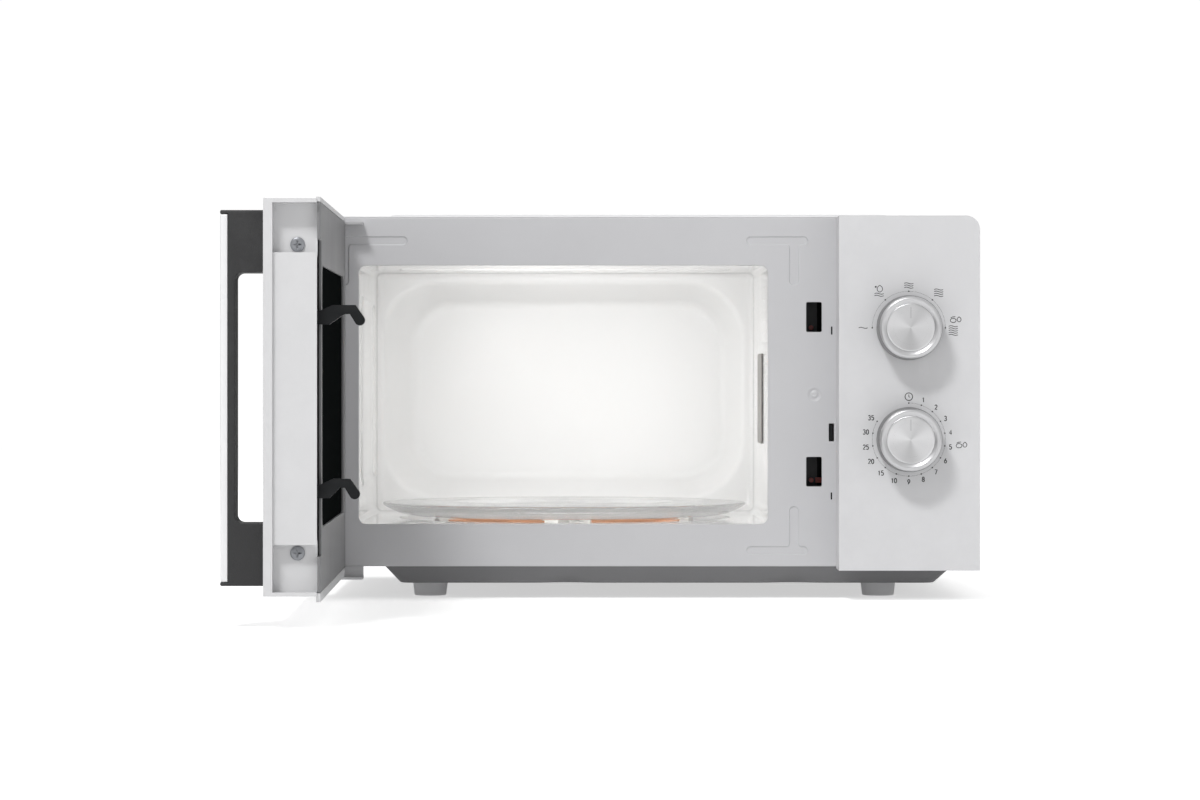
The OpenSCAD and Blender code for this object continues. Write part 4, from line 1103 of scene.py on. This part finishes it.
def makeTray(s):
    r = s["radius"]
    f = s["floor"]
    profile = [(0.0, f), (r - 23.0, f), (r - 20.5, f + 0.12), (r - 12.0, f + 1.7), (r - 6.5, f + 4.1),
               (r - 3.0, f + 5.9), (r - 0.7, f + 7.3), (r, f + 8.1), (r, f + 8.9), (r - 0.5, f + 9.4),
               (r - 1.4, f + 9.5), (r - 5.0, f + 8.7), (r - 9.0, f + 7.0), (r - 13.5, f + 5.3),
               (r - 18.0, f + 4.2), (r - 23.0, f + 3.8), (r - 24.6, f + 3.5), (r - 26.2, f + 3.8),
               (0.0, f + 3.8)]
    shapes = [turned(profile, (*s["middle"], 0), "z", 160)]
    for k in range(3):
        a = math.radians(60 + 120 * k)
        lug = [(0.0, f + 0.3), (s["lug"], f + 0.3), (s["lug"], f - 3.2), (s["lug"] - 0.7, f - 3.9),
               (0.0, f - 3.9)]
        shapes.append(turned(lug, (s["middle"][0] + s["lugRadius"] * math.cos(a),
                                   s["middle"][1] + s["lugRadius"] * math.sin(a), 0), "z", 24))
    addPiece("glassTray", joined(shapes), bodyOf["glass_tray"], "tray_glass", "trayGlass", "glass_tray",
             angle=40)


makeTray(tray)
roundedNode("roller_ring", "rollerRing", 0.6, "ringPlastic", segments=3)
for count in (1, 2, 3):
    roundedNode("roller_wheel_%d" % count, "rollerWheel%d" % count, 0.7, "wheelPlastic", segments=3)
roundedNode("coupler", "trayCoupler", 0.6, "couplerPlastic", segments=3)
print("stage: turntable done")

# Parts inside stay as packed
for nodeName, obj in nodes.items():
    obj.data.materials.clear()
    obj.data.materials.append(finishes[finishOf(slotOf[nodeName])])

studio = {"floorSize": 12.0, "floorCuts": 24, "floorColour": (0.93, 0.93, 0.93),
          "world": (1.0, 1.0, 1.0), "worldLevel": 0.5, "backdropLevel": 1.02, "floorLift": 0.54,
          "floorBounce": 0.16}


def makeStage(s):
    mesh = bpy.data.meshes.new("floor")
    size = s["floorSize"]
    cut = s["floorCuts"]
    spots = range(cut + 1)
    points = [(size * (i / cut - 0.5), size * (j / cut - 0.5), 0.0) for i in spots for j in spots]
    faces = [(a, a + cut + 1, a + cut + 2, a + 1)
             for a in (i * (cut + 1) + j for i in range(cut) for j in range(cut))]
    mesh.from_pydata(points, [], faces)
    floor = addObject("floor", mesh)
    tree, shader, place = newMaterial("studioFloor")
    colour = s["floorColour"]
    connect(tree, mixColour(tree, noiseNode(tree, place, 3.0), colour, [c * 0.985 for c in colour]),
            shader.inputs["Base Color"])
    shader.inputs["Roughness"].default_value = 0.9
    shader.inputs["Emission Color"].default_value = (1.0, 1.0, 1.0, 1.0)
    # The floor glows mostly for the camera, so that it hardly lights the oven from below
    direct = tree.nodes.new("ShaderNodeLightPath").outputs["Is Camera Ray"]
    connect(tree, rangeNode(tree, direct, 0.0, 1.0, s["floorBounce"], s["floorLift"]),
            shader.inputs["Emission Strength"])
    mesh.materials.append(finishes["studioFloor"])
    world = bpy.data.worlds.new("studioWorld")
    world.use_nodes = True
    tree = world.node_tree
    tree.nodes["Background"].inputs["Color"].default_value = (*s["world"], 1.0)
    # The backdrop shows white, while its light on the oven stays lower
    seen = tree.nodes.new("ShaderNodeLightPath").outputs["Is Camera Ray"]
    tree.links.new(rangeNode(tree, seen, 0.0, 1.0, s["worldLevel"], s["backdropLevel"]),
                   tree.nodes["Background"].inputs["Strength"])
    bpy.context.scene.world = world


makeStage(studio)


def addLight(name, at, target, size, power):
    lamp = bpy.data.lights.new(name, "AREA")
    lamp.shape = "RECTANGLE"
    lamp.size = size[0]
    lamp.size_y = size[1]
    lamp.energy = power
    obj = addObject(name, lamp)
    obj.location = at
    obj.rotation_mode = "QUATERNION"
    obj.rotation_quaternion = (Vector(target) - Vector(at)).to_track_quat("-Z", "Y")
    return obj


# Place, target, size in metres and power in watts
lights = {
    "keyLight": ((-0.9, -1.9, 2.5), (0.0, 0.0, 0.12), (0.6, 0.4), 46),
    "fillLight": ((1.9, -2.4, 1.1), (0.0, 0.0, 0.12), (1.6, 1.6), 3),
    "backLight": ((0.6, 2.4, 2.2), (0.0, 0.2, 0.1), (2.2, 1.2), 16),
}
for lightName, values in lights.items():
    addLight(lightName, *values)

# In millimetres from the middle of the cooking space's mouth; power in watts, spread in degrees
glow = {"from": (-60, 8, 35), "to": (60, 289, -15), "size": (70, 60), "power": 0.37, "spread": 120}


def lightCavity(s):
    u = sum(frontFrame["mouthX"]) / 2
    v = sum(frontFrame["mouthZ"]) / 2
    at, target = inCabinet([(u + x, y, v + z) for x, y, z in (s["from"], s["to"])])
    lamp = addLight("cavityGlow", at, target, [side * mm for side in s["size"]], s["power"])
    lamp.data.spread = math.radians(s["spread"])
    lamp.visible_camera = False
    lamp.visible_glossy = False


lightCavity(glow)

view = {"at": (-0.0216, -2.833, 0.1493), "lens": 127.4, "shift": (0.01, -0.02)}
lens = bpy.data.cameras.new("viewCamera")
lens.lens = view["lens"]
lens.sensor_width = 36.0
lens.shift_x, lens.shift_y = view["shift"]
camera = addObject("viewCamera", lens)
camera.location = view["at"]
camera.rotation_euler = (pi / 2, 0.0, 0.0)
bpy.context.scene.camera = camera
bpy.context.scene.view_settings.view_transform = "Standard"
print("stage: studio done")
